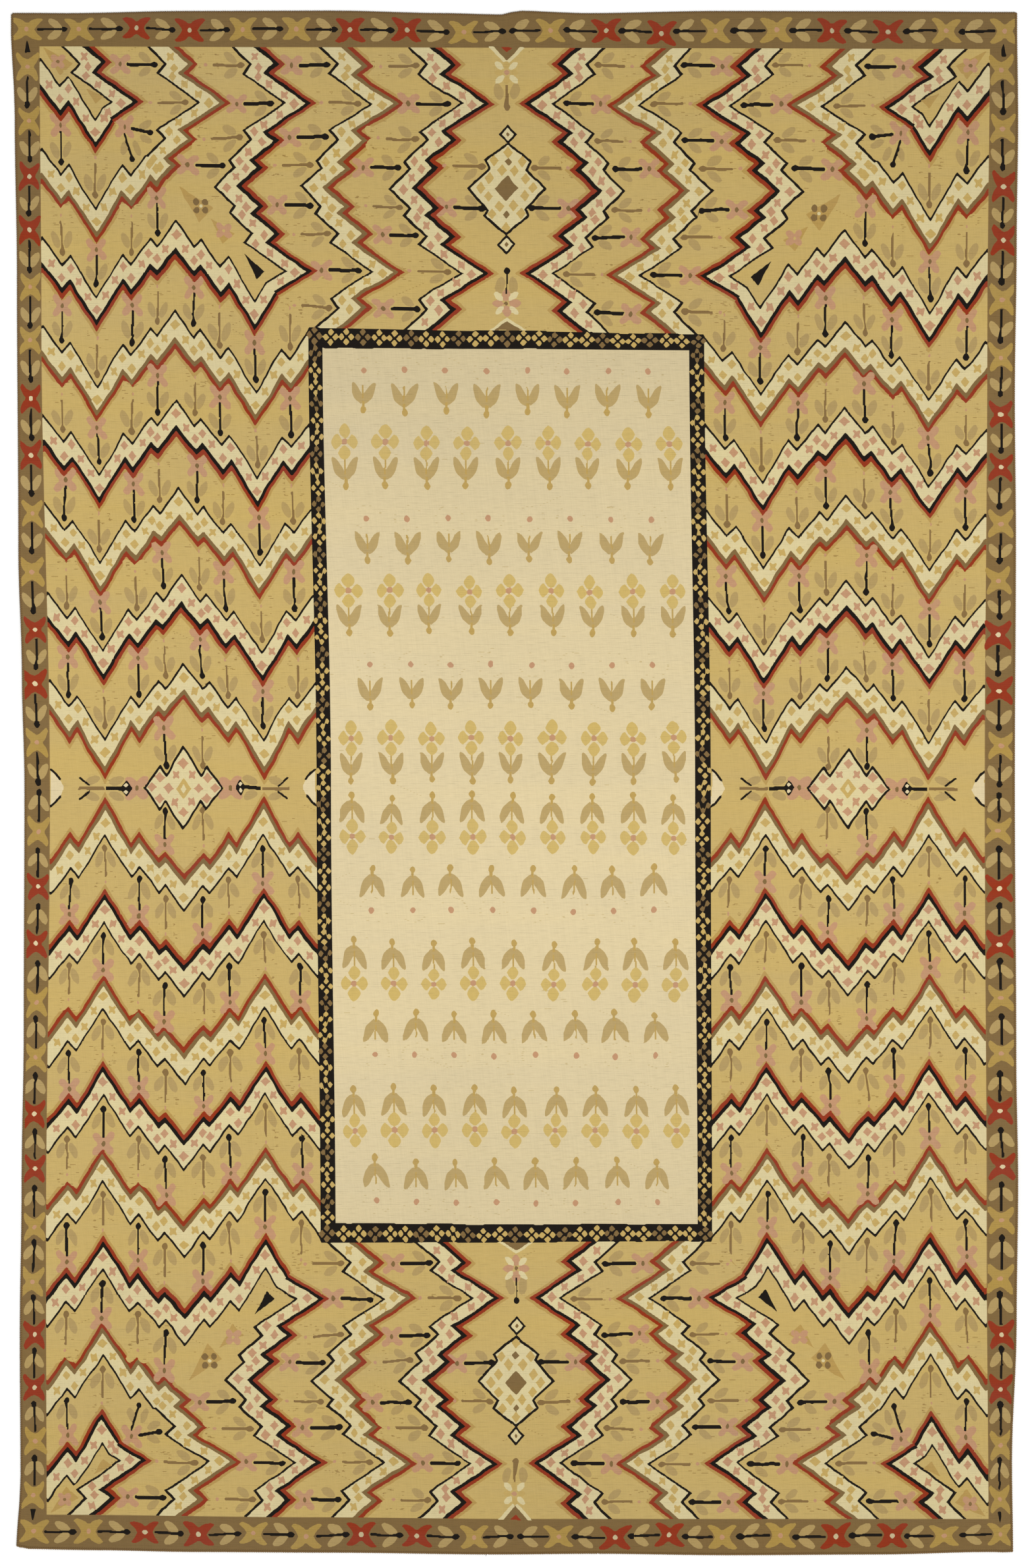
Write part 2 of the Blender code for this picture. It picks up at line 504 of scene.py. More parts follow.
MOTIF_PAST_DIAGONAL = 6.0
motif_count = 0
for sx, sy in CORNERS:
    for kind, rows in (("flank", FLANK_BANDS), ("panel", PANEL_BANDS)):
        for row in range(1, rows + 1):
            for along, is_star, wide, climb in band_motif_places():
                rise_here = rise_at(along, kind)
                line = FIRST_BAND - rise_here + BAND_SPACING * (row - 1)
                depth = line + (THIN_LINE[kind] + ivory_at(rise_here, kind)) / 2
                if depth < along - MOTIF_PAST_DIAGONAL:
                    continue
                wool = "rose" if row % 2 == 1 else "straw"
                x, y, _ = band_place(kind, sx, sy, along, depth)
                if is_star:
                    star(x, y, wool, wide)
                else:
                    bow(x, y, climb * sx * sy, wool)
                motif_count += 1
print(motif_count, "stars and bows")

# %% [markdown]
# ## Corners of the field
# Where the bands of two sides meet, plain shaded triangles and two small flowers fill the
# room on the diagonal. They are the same in all four corners, so each corner has a stamp
# whose u runs in from the side and v in from the end.

# %% Fill the four corners
SHADES = (
    [(8, 4), (90, 46), (57, 81)],
    [(131, 117), (181, 138), (158, 158)],
    [(394, 379), (487, 438), (447, 481)],
    [(480, 468), (548, 506), (516, 537)],
)
WEDGE = [(578, 564), (634, 608), (613, 631)]
SHADE_CUT, SHADE_CUT_HALF = [(68, 68), (100, 100)], 2.7
UP_PIN, UP_PIN_HALF, UP_HEAD, UP_HEAD_HALF = [(238, 238), (256, 302)], 3.2, (257, 308), (7.6, 8.8)
IN_PIN, IN_PIN_HALF, IN_HEAD, IN_HEAD_HALF = [(262, 223), (309, 232)], 4.3, (314, 233), (9.5, 8.2)


def corner_flower(corner, place, spread, petal, wool, turn, heart, heart_wool):
    """Four oval petals on the diagonals of one place, and a round heart."""
    for du in (-1, 1):
        for dv in (-1, 1):
            corner.oval(
                place[0] + du * spread[0], place[1] + dv * spread[1], *petal, wool, turn=du * dv * turn
            )
    corner.oval(*place, heart, heart, heart_wool)


for corner in corner_stamps:
    for shade in SHADES:
        corner.shape(shade, "deep_gold")
    corner.shape(WEDGE, "black")
    corner.line(SHADE_CUT, SHADE_CUT_HALF, "gold")
    corner_flower(corner, (50, 43), (9.0, 9.0), (11.0, 8.5), "rose", 45.0, 5.0, "stem")
    corner_flower(corner, (452, 433), (12.2, 12.2), (8.8, 9.8), "taupe", 0.0, 5.0, "ivory")
    corner_flower(corner, (519, 499), (11.0, 9.5), (13.0, 9.5), "rose", 45.0, 4.5, "gold")
    for way in (-1, 1):
        corner.oval(255 + way * 18, 278, 22.0, 10.0, "leaf", turn=way * 70.0)
        corner.oval(300, 232 + way * 19, 20.0, 10.5, "leaf", turn=way * 32.0)
    corner.line(UP_PIN, UP_PIN_HALF, "black")
    corner.oval(*UP_HEAD, *UP_HEAD_HALF, "black")
    corner.line(IN_PIN, IN_PIN_HALF, "black")
    corner.oval(*IN_HEAD, *IN_HEAD_HALF, "black")
    corner.oval(*CORNER_FLOWER_PLACE, 4.4, 7.8, "taupe")

# %% [markdown]
# ## Motifs on the rug's long axis
# Each end panel has a column of its own down the middle: a chevron at the border, an ivory
# flower, a framed medallion between two lozenges, a rose flower and a second chevron.

# %% The column of each end panel
MEDALLION = both_ways([(0, 258), (63, 305), (51, 328), (104, 378), (51, 434), (60, 450), (0, 498)])
MEDALLION_MIDDLE = 376.0
MEDALLION_STARS = (
    (0, -94), (39, -71), (17, -45), (49, -25), (70, 0), (48, 21), (18, 47), (39, 68), (0, 105)
)
MEDALLION_STAR_HALF, MEDALLION_STAR_POWER = (13.5, 17.0), 0.92
MEDALLION_HEART_HALF, SMALL_HEART_HALF, SMALL_HEARTS = (31.0, 33.0), (9.5, 12.0), (-68, 71)
MEDALLION_LINE_HALF = 3.4
SMALL_LOZENGES = (231, 527)
BORDER_CHEVRON = (("ivory", 50, 51), ("taupe", 36, 38), ("red", 16, 14))
FRAME_CHEVRON = (("ivory", 50, 727), ("taupe", 38, 737))
CHEVRON_FOOT_AT_FRAME = 760
IVORY_FLOWER, ROSE_FLOWER = 70, 687


def small_lozenge(stamp, v):
    stamp.lozenge(0, v, 26.0, 28.0, "black")
    stamp.lozenge(0, v, 17.5, 19.5, "ivory")
    stamp.lozenge(0, v, 5.5, 8.0, "taupe")


def petals(stamp, v, reach, long, wide, wool, diagonal, power=1.7):
    for quarter in range(4):
        angle = 90.0 * quarter + (45.0 if diagonal else 0.0)
        u = reach * math.cos(math.radians(angle))
        w = reach * math.sin(math.radians(angle))
        stamp.oval(u, v + w, long, wide, wool, turn=angle, power=power)


def end_column(sy):
    column = Stamp(0, sy * FIELD_Y, "S" if sy > 0 else "N", reach=790.0, slip=0.0)
    for wool, half, tip in BORDER_CHEVRON:
        column.shape([(-half, 0), (0, tip), (half, 0)], wool)
    for way in (-1, 1):
        column.oval(way * 22, 120, 12.0, 22.0, "leaf", turn=way * 12.0)
        column.oval(way * 17, 640, 12.0, 26.0, "leaf", turn=-way * 8.0)
    petals(column, IVORY_FLOWER, 20.0, 11.0, 8.0, "straw", diagonal=False)
    petals(column, IVORY_FLOWER, 26.0, 15.0, 8.0, "ivory", diagonal=True)
    column.oval(0, IVORY_FLOWER, 7.0, 6.5, "rose")
    column.shape([(-2.5, 102), (2.5, 102), (6.5, 152), (-6.5, 152)], "stem")
    column.oval(0, 160, 8.5, 10.0, "stem")
    for v in SMALL_LOZENGES:
        small_lozenge(column, v)
    column.shape(MEDALLION, "ivory")
    for u, v in MEDALLION_STARS:
        for way in {1, -1 if u else 1}:
            column.lozenge(
                way * u, MEDALLION_MIDDLE + v, *MEDALLION_STAR_HALF, "straw", power=MEDALLION_STAR_POWER
            )
    column.lozenge(0, MEDALLION_MIDDLE, *MEDALLION_HEART_HALF, "taupe")
    for v in SMALL_HEARTS:
        column.lozenge(0, MEDALLION_MIDDLE + v, *SMALL_HEART_HALF, "taupe")
    column.line(MEDALLION, MEDALLION_LINE_HALF, "black", closed=True)
    petals(column, ROSE_FLOWER, 22.0, 16.0, 11.0, "rose", diagonal=False)
    petals(column, ROSE_FLOWER, 27.0, 16.0, 8.0, "ivory", diagonal=True)
    column.oval(0, ROSE_FLOWER, 5.0, 6.0, "taupe")
    column.bar(-1.7, 1.7, 598, 662, "black")
    column.oval(0, 598, 7.8, 9.2, "black")
    for wool, half, tip in FRAME_CHEVRON:
        foot = CHEVRON_FOOT_AT_FRAME
        column.shape([(-half, foot), (0, tip), (half, foot)], wool)


for sy in (-1, 1):
    end_column(sy)

# %% [markdown]
# ## Motifs at half length
# On the rug's cross axis each flank has a stepped medallion full of rose stars. To both
# sides of it lie a flower, a black pin with two white eyes, a ghost arrow, and half a white
# lozenge that grows out of the border or the frame.

# %% The middle of each flank
FLANK_MEDALLION = [(0, 112), (51, 35), (67, 61), (111, 0), (67, -61), (51, -35), (0, -112)]
ROSE_STARS = ((0, 70), (69, 30), (43, 0), (92, 0), (69, -30), (0, -66))
ROSE_STAR_WIDTH = 1.08
ROSE_BOWS = ((23, 39, 1), (23, -37, -1))
FLOWER_U, EYES_U, PIN_LEAF_U, GHOST_LEAF_U = 134, 163, 190, 262
PIN_ENDS, GHOST_ENDS, BARB = (160, 220), (224, 302), ((270, 9), (296, 30))


def flank_middle(sx):
    centre = sx * (FIELD_X + FRAME_X) / 2
    middle = Stamp(centre, 0.0, reach=FLANK_WIDTH / 2 + 4, slip=0.0)
    outline = both_ways(FLANK_MEDALLION)
    middle.shape(outline, "ivory")
    for u, v in ROSE_STARS:
        for way in {1, -1 if u else 1}:
            star(centre + way * u, v, "rose", ROSE_STAR_WIDTH)
    for u, v, climb in ROSE_BOWS:
        for way in (-1, 1):
            bow(centre + way * u, v, way * climb, "rose")
    middle.lozenge(0, 0, 22.0, 29.0, "straw")
    middle.lozenge(0, 0, 8.0, 14.0, "ivory")
    middle.line(outline, 3.2, "black", closed=True)
    for way in (-1, 1):
        for du in (-1, 1):
            for dv in (-1, 1):
                turn = -way * dv * 22.0
                middle.oval(way * FLOWER_U + du * 15, dv * 16, 20.0, 13.0, "rose", turn=du * dv * 40.0)
                middle.oval(way * (PIN_LEAF_U - du), dv * 21, 21.0, 11.5, "leaf", turn=turn)
                middle.oval(way * GHOST_LEAF_U, dv * 22, 23.0, 11.5, "leaf", turn=turn)
        middle.oval(way * FLOWER_U, 0, 14.0, 9.0, "rose")
        middle.oval(way * FLOWER_U, 0, 4.5, 8.5, "taupe")
        middle.bar(*sorted(way * u for u in PIN_ENDS), -5.2, 5.2, "black")
        middle.bar(*sorted(way * u for u in GHOST_ENDS), -4.6, 4.6, "stem")
        middle.lozenge(way * (EYES_U - 1), 0, 15.0, 22.0, "black", power=1.15)
        for dv in (-1, 1):
            middle.lozenge(way * EYES_U, dv * 9.0, 6.5, 6.5, "cream")
            middle.line([(way * u, dv * v) for u, v in BARB], 3.0, "black")
        edge = FLANK_WIDTH / 2
        tip = [(way * edge, 49), (way * (edge - 26), 26), (way * (edge - 38), 0)]
        rim = [(way * edge, 50), (way * (edge - 12), 42), (way * (edge - 26), 24)]
        middle.shape(tip + [(u, -v) for u, v in reversed(tip[:2])], "cream")
        for dv in (-1, 1):
            middle.line([(u, dv * v) for u, v in rim], 3.4, "black")


for sx in (-1, 1):
    flank_middle(sx)

# %% [markdown]
# ## The black frame
# A black strip frames the centre. It carries a net of small diamonds in groups of four, two
# groups gold and then one taupe. On the short sides the net lies nearer to the outer edge.

# %% The frame and its net of diamonds
SIDE_KNOT_PITCH, END_KNOT_PITCH = 46.8, 44.0
SIDE_KNOTS, END_KNOTS = 26, 12
SIDE_KNOT_X, END_KNOT_Y = (FRAME_X + PANEL_X) / 2, FRAME_Y - 22.0
SIDE_KNOT_SIZE = {"aside": 12.4, "along": 14.8, "half_u": 7.2, "half_v": 9.4}
END_KNOT_SIZE = {"aside": 13.4, "along": 13.0, "half_u": 8.4, "half_v": 9.4}


def knot(x, y, wool, aside, along, half_u, half_v):
    stamp = Stamp(x, y, reach=34.0, slip=1.2)
    for u, v in ((0, along), (0, -along), (aside, 0), (-aside, 0)):
        stamp.lozenge(u, v, half_u, half_v, wool, power=1.15)


def knot_wool(index):
    return "taupe" if index % 3 == 0 else "straw"


frame_edge_y = np.abs(ROW_Y[:, None] + 0.5 * wander_y)
in_frame = (np.abs(COLUMN_X)[None, :] < FRAME_X) & (frame_edge_y < FRAME_Y)
in_panel = (np.abs(COLUMN_X)[None, :] < PANEL_X) & (frame_edge_y < PANEL_Y)
paint(in_frame, "black")
for sx in (-1, 1):
    for index in range(-SIDE_KNOTS, SIDE_KNOTS + 1):
        knot(sx * SIDE_KNOT_X, index * SIDE_KNOT_PITCH, knot_wool(index + 1), **SIDE_KNOT_SIZE)
for sy in (-1, 1):
    for index in range(-END_KNOTS, END_KNOTS + 1):
        knot(index * END_KNOT_PITCH, sy * END_KNOT_Y, knot_wool(index), **END_KNOT_SIZE)
paint(in_panel, "cream")
print("frame", 2 * FRAME_X, "by", 2 * FRAME_Y, "mm")

# %% [markdown]
# ## The centre panel
# On the cream ground stand rows of tulips and rows of four-petalled flowers in turn, set
# between each other. Both halves point away from the rug's middle, so that the panel reads
# the same from either end.

# %% Tulips and flowers of the panel
PLANT_PITCH = 112.0
TULIPS_IN_A_ROW, FLOWERS_IN_A_ROW = 8, 9
TULIP_ROWS = (1172.0, 757.0, 346.0)
FLOWER_ROWS = (969.0, 553.5, 139.5)
LEAF = [
    (0, -67), (10, -62.5), (20, -54), (27, -45), (30.5, -36), (33, -23), (34.5, -9), (35, 1),
    (27, -1.5), (19, -9), (13, -18), (8.5, -26), (5, -32), (2.2, -36), (0, -37),
]
BULB = both_ways([(3.4, -94), (3.6, -107), (7.6, -112), (8.6, -118), (6.0, -125), (0, -128.5)])
STEM_HALF, STEM_FOOT, STEM_TOP = 2.2, -86.0, {"tulip": -45.0, "flower": -40.0}
SIDE_PETAL = [(4.5, 0), (14, 12), (21, 21.5), (30, 16), (37, 2), (33, -11), (24, -20), (13, -10.5)]


def leaf_pair(plant, v, scale=1.0):
    for way in (-1, 1):
        plant.shape([(way * u * scale, v + w * scale) for u, w in LEAF], "panel_leaf")


def stem_and_bulb(plant, kind):
    plant.bar(-STEM_HALF, STEM_HALF, STEM_FOOT, STEM_TOP[kind], "bulb")
    plant.shape(BULB, "bulb")


def tulip(x, y, up):
    plant = Stamp(x, y, up, reach=150.0)
    plant.oval(0, 0, 7.8, 9.0, "rose")
    leaf_pair(plant, -37.0)
    stem_and_bulb(plant, "tulip")


def panel_flower(x, y, up):
    plant = Stamp(x, y, up, reach=150.0)
    leaf_pair(plant, -39.0, scale=0.97)
    stem_and_bulb(plant, "flower")
    plant.oval(0, 28.5, 16.8, 20.5, "panel_petal", power=1.5)
    plant.oval(0, -29, 16.2, 19.5, "panel_petal", power=1.5)
    for way in (-1, 1):
        plant.shape([(way * u, v) for u, v in SIDE_PETAL], "panel_petal")
    plant.oval(0, 0, 7.4, 8.2, "rose", power=2.6)


def plant_places(count):
    """Where the plants of a row stand, from left to right."""
    return [(index - (count - 1) / 2) * PLANT_PITCH for index in range(count)]


for sy, up in ((1, "N"), (-1, "S")):
    for row_y in TULIP_ROWS:
        for x in plant_places(TULIPS_IN_A_ROW):
            tulip(x, sy * row_y, up)
    for row_y in FLOWER_ROWS:
        for x in plant_places(FLOWERS_IN_A_ROW):
            panel_flower(x, sy * row_y, up)
print("plants in a pair of rows:", TULIPS_IN_A_ROW + FLOWERS_IN_A_ROW)

# %% [markdown]
# ## The border
# Round the field runs a taupe strip with a line of flowers, gold, red, red, gold. Each one
# has a black pin that points to the middle of its side, with two leaves beside its head.

# %% The border's flowers and pins
BORDER_X = (FIELD_X + HALF_WIDTH) / 2
BORDER_Y = (FIELD_Y + HALF_LENGTH) / 2
END_FIRST, END_PITCH, END_FLOWERS = 121.6, 152.5, 8
SIDE_FIRST, SIDE_FLOWERS = 122.0, 13
SIDE_PITCH, SIDE_PITCH_NEAR_END, WIDE_PITCHES = 158.9, 150.8, 7
PIN_LENGTH, STEM_END, BORDER_STEM_HALF = 106.0, 80.0, 3.5
BORDER_LEAF = {"place": (15.8, 28.0), "half": (24.5, 11.5), "turn": 58.0}
BORDER_HEAD_HALF, BORDER_HEART_HALF = (8.2, 11.0), (7.0, 6.5)
CORNER_STUB = [(-2, -34), (2, -34), (7, -68), (-7, -68)]
BORDER_PETAL = [
    (0, 0), (0, 21), (11, 26), (20, 34), (28, 41), (32.5, 38),
    (33, 29), (29.5, 18), (24.5, 9), (19, 4), (18, 0),
]


def border_flower(stamp, v, red):
    four_petals(stamp, BORDER_PETAL, 0.0, v, "red" if red else "petal_gold")
    stamp.oval(0, v, *BORDER_HEART_HALF, "cream" if red else "rose")


def border_pin(x, y, out, red):
    """A pin by its flower's place: its head is PIN_LENGTH towards the side's middle."""
    vx, vy = Stamp.TURNS[out][2:]
    pin = Stamp(x - vx * PIN_LENGTH, y - vy * PIN_LENGTH, out, reach=170.0)
    u, v = BORDER_LEAF["place"]
    for way in (-1, 1):
        pin.oval(
            way * u, v, *BORDER_LEAF["half"], "leaf", turn=way * BORDER_LEAF["turn"], power=ROUNDNESS
        )
    border_flower(pin, PIN_LENGTH, red)
    pin.bar(-BORDER_STEM_HALF, BORDER_STEM_HALF, 0, STEM_END, "black")
    pin.oval(0, 0, *BORDER_HEAD_HALF, "black", power=ROUNDNESS)


def is_red(index):
    """Gold, red, red, gold, from the middle of a side to its end."""
    return index % 4 in (1, 2)


beside_field = np.abs(COLUMN_X)[None, :] < FIELD_X + CELL_X
paint(~field & beside_field & (np.abs(ROW_Y)[:, None] < FIELD_Y), "stem")
for sy in (-1, 1):
    for sx, out in ((-1, "W"), (1, "E")):
        for index in range(END_FLOWERS + 1):
            x = END_FIRST + END_PITCH * index
            border_pin(sx * x, sy * BORDER_Y, out, is_red(index))
for sx in (-1, 1):
    for sy, out in ((-1, "S"), (1, "N")):
        for index in range(SIDE_FLOWERS):
            wide, narrow = min(index, WIDE_PITCHES), max(index - WIDE_PITCHES, 0)
            y = SIDE_FIRST + SIDE_PITCH * wide + SIDE_PITCH_NEAR_END * narrow
            border_pin(sx * BORDER_X, sy * y, out, is_red(index))
        stub = Stamp(sx * BORDER_X, sy * BORDER_Y, out)
        stub.shape(CORNER_STUB, "black")
print("border flowers:", 4 * (END_FLOWERS + 1) + 4 * SIDE_FLOWERS)

# %% [markdown]
# ## Slits and lazy lines
# Where two areas of one wool meet between two warps, the wefts turn back and leave a short
# slit. A weaver who builds up one area at a time also leaves lazy lines, slanting rows of
# tiny holes. The shadow in both is painted as fine dark ticks along the warps. They are set
# with a fixed seed round the ghost flowers and over the two plain grounds.

# %% Ticks along the warps
TICKS_PER_GHOST, TICKS_PER_TULIP = 14, 9
LAZY_LINES, LAZY_COLUMNS, LAZY_ROWS = 130, 4, 2
LOOSE_TICKS = 380
GHOST_NEAR, GHOST_SPREAD, TULIP_REACH = 20.0, 14.0, (38.0, 34.0)
# Painted shadow: a slit on a plain ground takes that ground's darker slit colour.
SLIT_SHADOW_ON = {WOOL["gold"]: WOOL["gold_slit_shadow"], WOOL["cream"]: WOOL["cream_slit_shadow"]}


def tick(x, y, columns):
    """A slit's painted shadow, which shows on the plain grounds only."""
    row, first = int(np.searchsorted(ROW_Y, y)), int(np.searchsorted(COLUMN_X, x))
    for column in range(first, first + columns):
        if 0 <= row < ROWS and 0 <= column < COLUMNS:
            cartoon[row, column] = SLIT_SHADOW_ON.get(cartoon[row, column], cartoon[row, column])


for pin, row, place, kind, length in pins:
    if not is_bloom(row, place):
        for angle in hand.uniform(0, 2 * math.pi, TICKS_PER_GHOST):
            out = GHOST_NEAR + GHOST_SPREAD * abs(math.sin(2 * angle))
            x, y = pin.spot(out * math.cos(angle), length + out * math.sin(angle))
            tick(x, y, int(hand.integers(2, 6)))
for sy in (-1, 1):
    for row_y in TULIP_ROWS:
        for x in plant_places(TULIPS_IN_A_ROW):
            for angle in hand.uniform(0, 2 * math.pi, TICKS_PER_TULIP):
                aside, along = TULIP_REACH[0] * math.cos(angle), TULIP_REACH[1] * math.sin(angle)
                tick(x + aside, sy * row_y + along, 3)
for _ in range(LAZY_LINES):
    x, y = hand.uniform(-FIELD_X, FIELD_X), hand.uniform(-FIELD_Y, FIELD_Y)
    slope = hand.choice((-1, 1))
    for step in range(int(hand.integers(5, 11))):
        tick(x + step * LAZY_COLUMNS * CELL_X, y + slope * step * LAZY_ROWS * CELL_Y, 2)
for _ in range(LOOSE_TICKS):
    tick(hand.uniform(-FIELD_X, FIELD_X), hand.uniform(-FIELD_Y, FIELD_Y), int(hand.integers(2, 10)))
colour_changes = int((cartoon[1:] != cartoon[:-1]).sum())
print("colour changes along the warps:", colour_changes)

# %% [markdown]
# ## From the cartoon to the rug on the floor
# The finished rug isn't square. The warps were not all equally tight, so the main lines
# bend. Each main line has a few places along it, read from the photograph in pixels, and a
# smooth curve joins them. Every crossing of a warp and a pick is placed between its nearest
# lines. The outer lines are the outline of the CAD solid, so the two agree.

# %% The drift of the main lines
PIXEL = 1.8283
MIDDLE_PIXEL = (780.5, 1188.5)
LINE_X = (-FIELD_X, -FRAME_X, -PANEL_X, 0.0, PANEL_X, FRAME_X, FIELD_X)
STATION_Y = (-HALF_LENGTH, -FRAME_Y, 0.0, FRAME_Y, HALF_LENGTH)
LINE_X_PIXELS = (
    (71, 70, 76, 63, 60),
    (484, 486, 480, 467.5, 467.5),
    (507, 509, 502, 489, 489),
    (782, 783.5, 776.5, 769.5, 769.5),
    (1058, 1059, 1055, 1046, 1046),
    (1080, 1081, 1079, 1069, 1069),
    (1500, 1497, 1494, 1498, 1502),
)
LINE_Y = (-FIELD_Y, -FRAME_Y, -PANEL_Y, 0.0, PANEL_Y, FRAME_Y, FIELD_Y)
STATION_X = (-FIELD_X, -FRAME_X, 0.0, FRAME_X, FIELD_X)
LINE_Y_PIXELS = (
    (2299.5, 2303.5, 2306, 2306, 2306),
    (1889, 1886.8, 1885.5, 1884.2, 1882),
    (1861.4, 1857.2, 1858, 1858.8, 1854.4),
    (1196, 1196, 1196, 1196.6, 1197.5),
    (517.2, 528, 530, 532, 542.6),
    (489.6, 497.5, 502.3, 507.1, 515),
    (70, 71.2, 72, 72.8, 74),
)


def eased(places, values, at):
    """Values given at some places along a line, joined by smooth steps."""
    places, values = np.array(places), np.array(values, float)
    index = np.clip(np.searchsorted(places, at) - 1, 0, len(places) - 2)
    part = np.clip((at - places[index]) / (places[index + 1] - places[index]), 0, 1)
    part = part * part * (3 - 2 * part)
    return values[index] + (values[index + 1] - values[index]) * part


line_x = np.arange(COLUMNS + 1) * CELL_X - HALF_WIDTH
line_y = np.arange(ROWS + 1) * CELL_Y - HALF_LENGTH
inner_x = [(eased(STATION_Y, pixels, line_y) - MIDDLE_PIXEL[0]) * PIXEL for pixels in LINE_X_PIXELS]
inner_y = [(MIDDLE_PIXEL[1] - eased(STATION_X, pixels, line_x)) * PIXEL for pixels in LINE_Y_PIXELS]

# %% The outline of the CAD solid
CORNER_CLEARANCE, SIDE_DEPTH, END_DEPTH = 0.012, 0.06, 0.04
node_mesh = frame["nodes"]["rug"].data
solid = np.array([vertex.co for vertex in node_mesh.vertices])
(west, south, floor_z), (east, north, top_z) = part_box("rug")
THICKNESS = (top_z - floor_z) * 1000


def outline_side(along, across, lowest, highest, limit):
    """The solid's edge on one side: sorted places along it and how far out it lies, in mm."""
    inside = (along > lowest + CORNER_CLEARANCE) & (along < highest - CORNER_CLEARANCE)
    places = np.where(inside & limit)[0]
    places = places[np.argsort(along[places])]
    return along[places] * 1000, across[places] * 1000


solid_x, solid_y = solid[:, 0], solid[:, 1]
left_side = outline_side(solid_y, solid_x, south, north, solid_x < west + SIDE_DEPTH)
right_side = outline_side(solid_y, solid_x, south, north, solid_x > east - SIDE_DEPTH)
low_side = outline_side(solid_x, solid_y, west, east, solid_y < south + END_DEPTH)
high_side = outline_side(solid_x, solid_y, west, east, solid_y > north - END_DEPTH)
outline_points = sum(len(places) for places, _ in (left_side, right_side, low_side, high_side))
print("outline points read from the solid:", outline_points)


# %% Lay out every crossing of a warp and a pick
def between_lines(lines, curves, at):
    """Each crossing's place, from the curves of the lines on either side of it."""
    index = np.clip(np.searchsorted(lines, at) - 1, 0, len(lines) - 2)
    lines = np.array(lines)
    part = (at - lines[index]) / (lines[index + 1] - lines[index])
    curves = np.stack(curves)
    return curves[index] + (curves[index + 1] - curves[index]) * part[:, None]


place_y = between_lines(
    (-HALF_LENGTH, *LINE_Y, HALF_LENGTH),
    [np.interp(line_x, *low_side), *inner_y, np.interp(line_x, *high_side)],
    line_y,
)
place_x = between_lines(
    (-HALF_WIDTH, *LINE_X, HALF_WIDTH),
    [np.interp(place_y[:, 0], *left_side), *inner_x, np.interp(place_y[:, -1], *right_side)],
    line_x,
).T
print(f"laid out {place_x.size} crossings, {np.ptp(place_x):.0f} by {np.ptp(place_y):.0f} mm")

# %% [markdown]
# ## The web as a mesh
# One face for each cell would be over two million faces a side. But a wool runs on over
# many warps before it changes, so each such run in a column is one strip of faces. Where
# the same two wools meet in neighbouring columns, a little higher or lower, the weaver's
# packed wefts round the step off. So both breaks share one point on the line between the
# columns, halfway, and the edge slants. Neighbouring strips share every point on the line
# between them, so no gap opens. A strip is zipped: its points are taken in order from both
# sides, and each step makes one triangle. The same zip closes the rim and makes the
# underside, which has only every fourth column. The cloth is made in nine blocks, to keep
# each mesh light, and every column is tied to its neighbours at a few rows, so that a
# block can end there. It lies almost flat: it lifts by a millimetre where it isn't relaxed.

# %% Blocks, thickness and lift
BLOCKS_A_SIDE = 3
BLOCK_LINES_X = tuple(COLUMNS * i // BLOCKS_A_SIDE for i in range(BLOCKS_A_SIDE + 1))
BLOCK_LINES_Y = tuple(ROWS * i // BLOCKS_A_SIDE for i in range(BLOCKS_A_SIDE + 1))
TIE_ROWS = 175
TIES = np.arange(0, ROWS + 1, TIE_ROWS)
RIM_ROWS = 35
UNDERSIDE_STEP = 4
LIFT = 1.3


def lift_at(x, y):
    """How far the cloth stands off the floor, in millimetres: nothing over most of it."""
    swell = np.sin(x / 310.0 + 0.7) * np.sin(y / 420.0 + 1.1) + 0.5 * np.sin((x + y) / 230.0)
    return LIFT * np.clip(swell - 0.35, 0, None)


# %% Where the wools meet
WOOL_SPACE = 32
PAIR_SPACE = WOOL_SPACE * WOOL_SPACE
STRETCH_SPACE = PAIR_SPACE * WOOL_SPACE
STEP_REACH = 10
STEP_REACH_BELOW = 16
BLUNT_END, BLUNT_SHARE = 1.8, 0.3
HALF_ALIKE_REACH = 3
TIE_REACH = 6
# The two painted slit shadow colours.
SLIT_SHADOWS = [WOOL["gold_slit_shadow"], WOOL["cream_slit_shadow"]]


def breaks_of(column_wools):
    """The rows where a column changes wool or is tied, what meets there, and at each tie.

    What meets is one number: the wool above, the wool below, the stretch between ties, and
    for a slit its row, so that two slits never count as one.
    """
    wools = column_wools.astype(int)
    rows = np.nonzero(wools[1:] != wools[:-1])[0] + 1
    rows = rows[~np.isin(rows, TIES)]
    kinds = wools[rows - 1] * WOOL_SPACE + wools[rows] + PAIR_SPACE * np.searchsorted(TIES, rows)
    at_slit = np.isin(wools[rows - 1], SLIT_SHADOWS) | np.isin(wools[rows], SLIT_SHADOWS)
    kinds += STRETCH_SPACE * np.where(at_slit, rows, 0)
    at_ties = wools[np.maximum(TIES - 1, 0)] * WOOL_SPACE + wools[np.minimum(TIES, ROWS - 1)]
    rows, kinds = np.concatenate((rows, TIES)), np.concatenate((kinds, -1 - TIES))
    order = np.argsort(rows)
    return rows[order].astype(float), kinds[order], at_ties


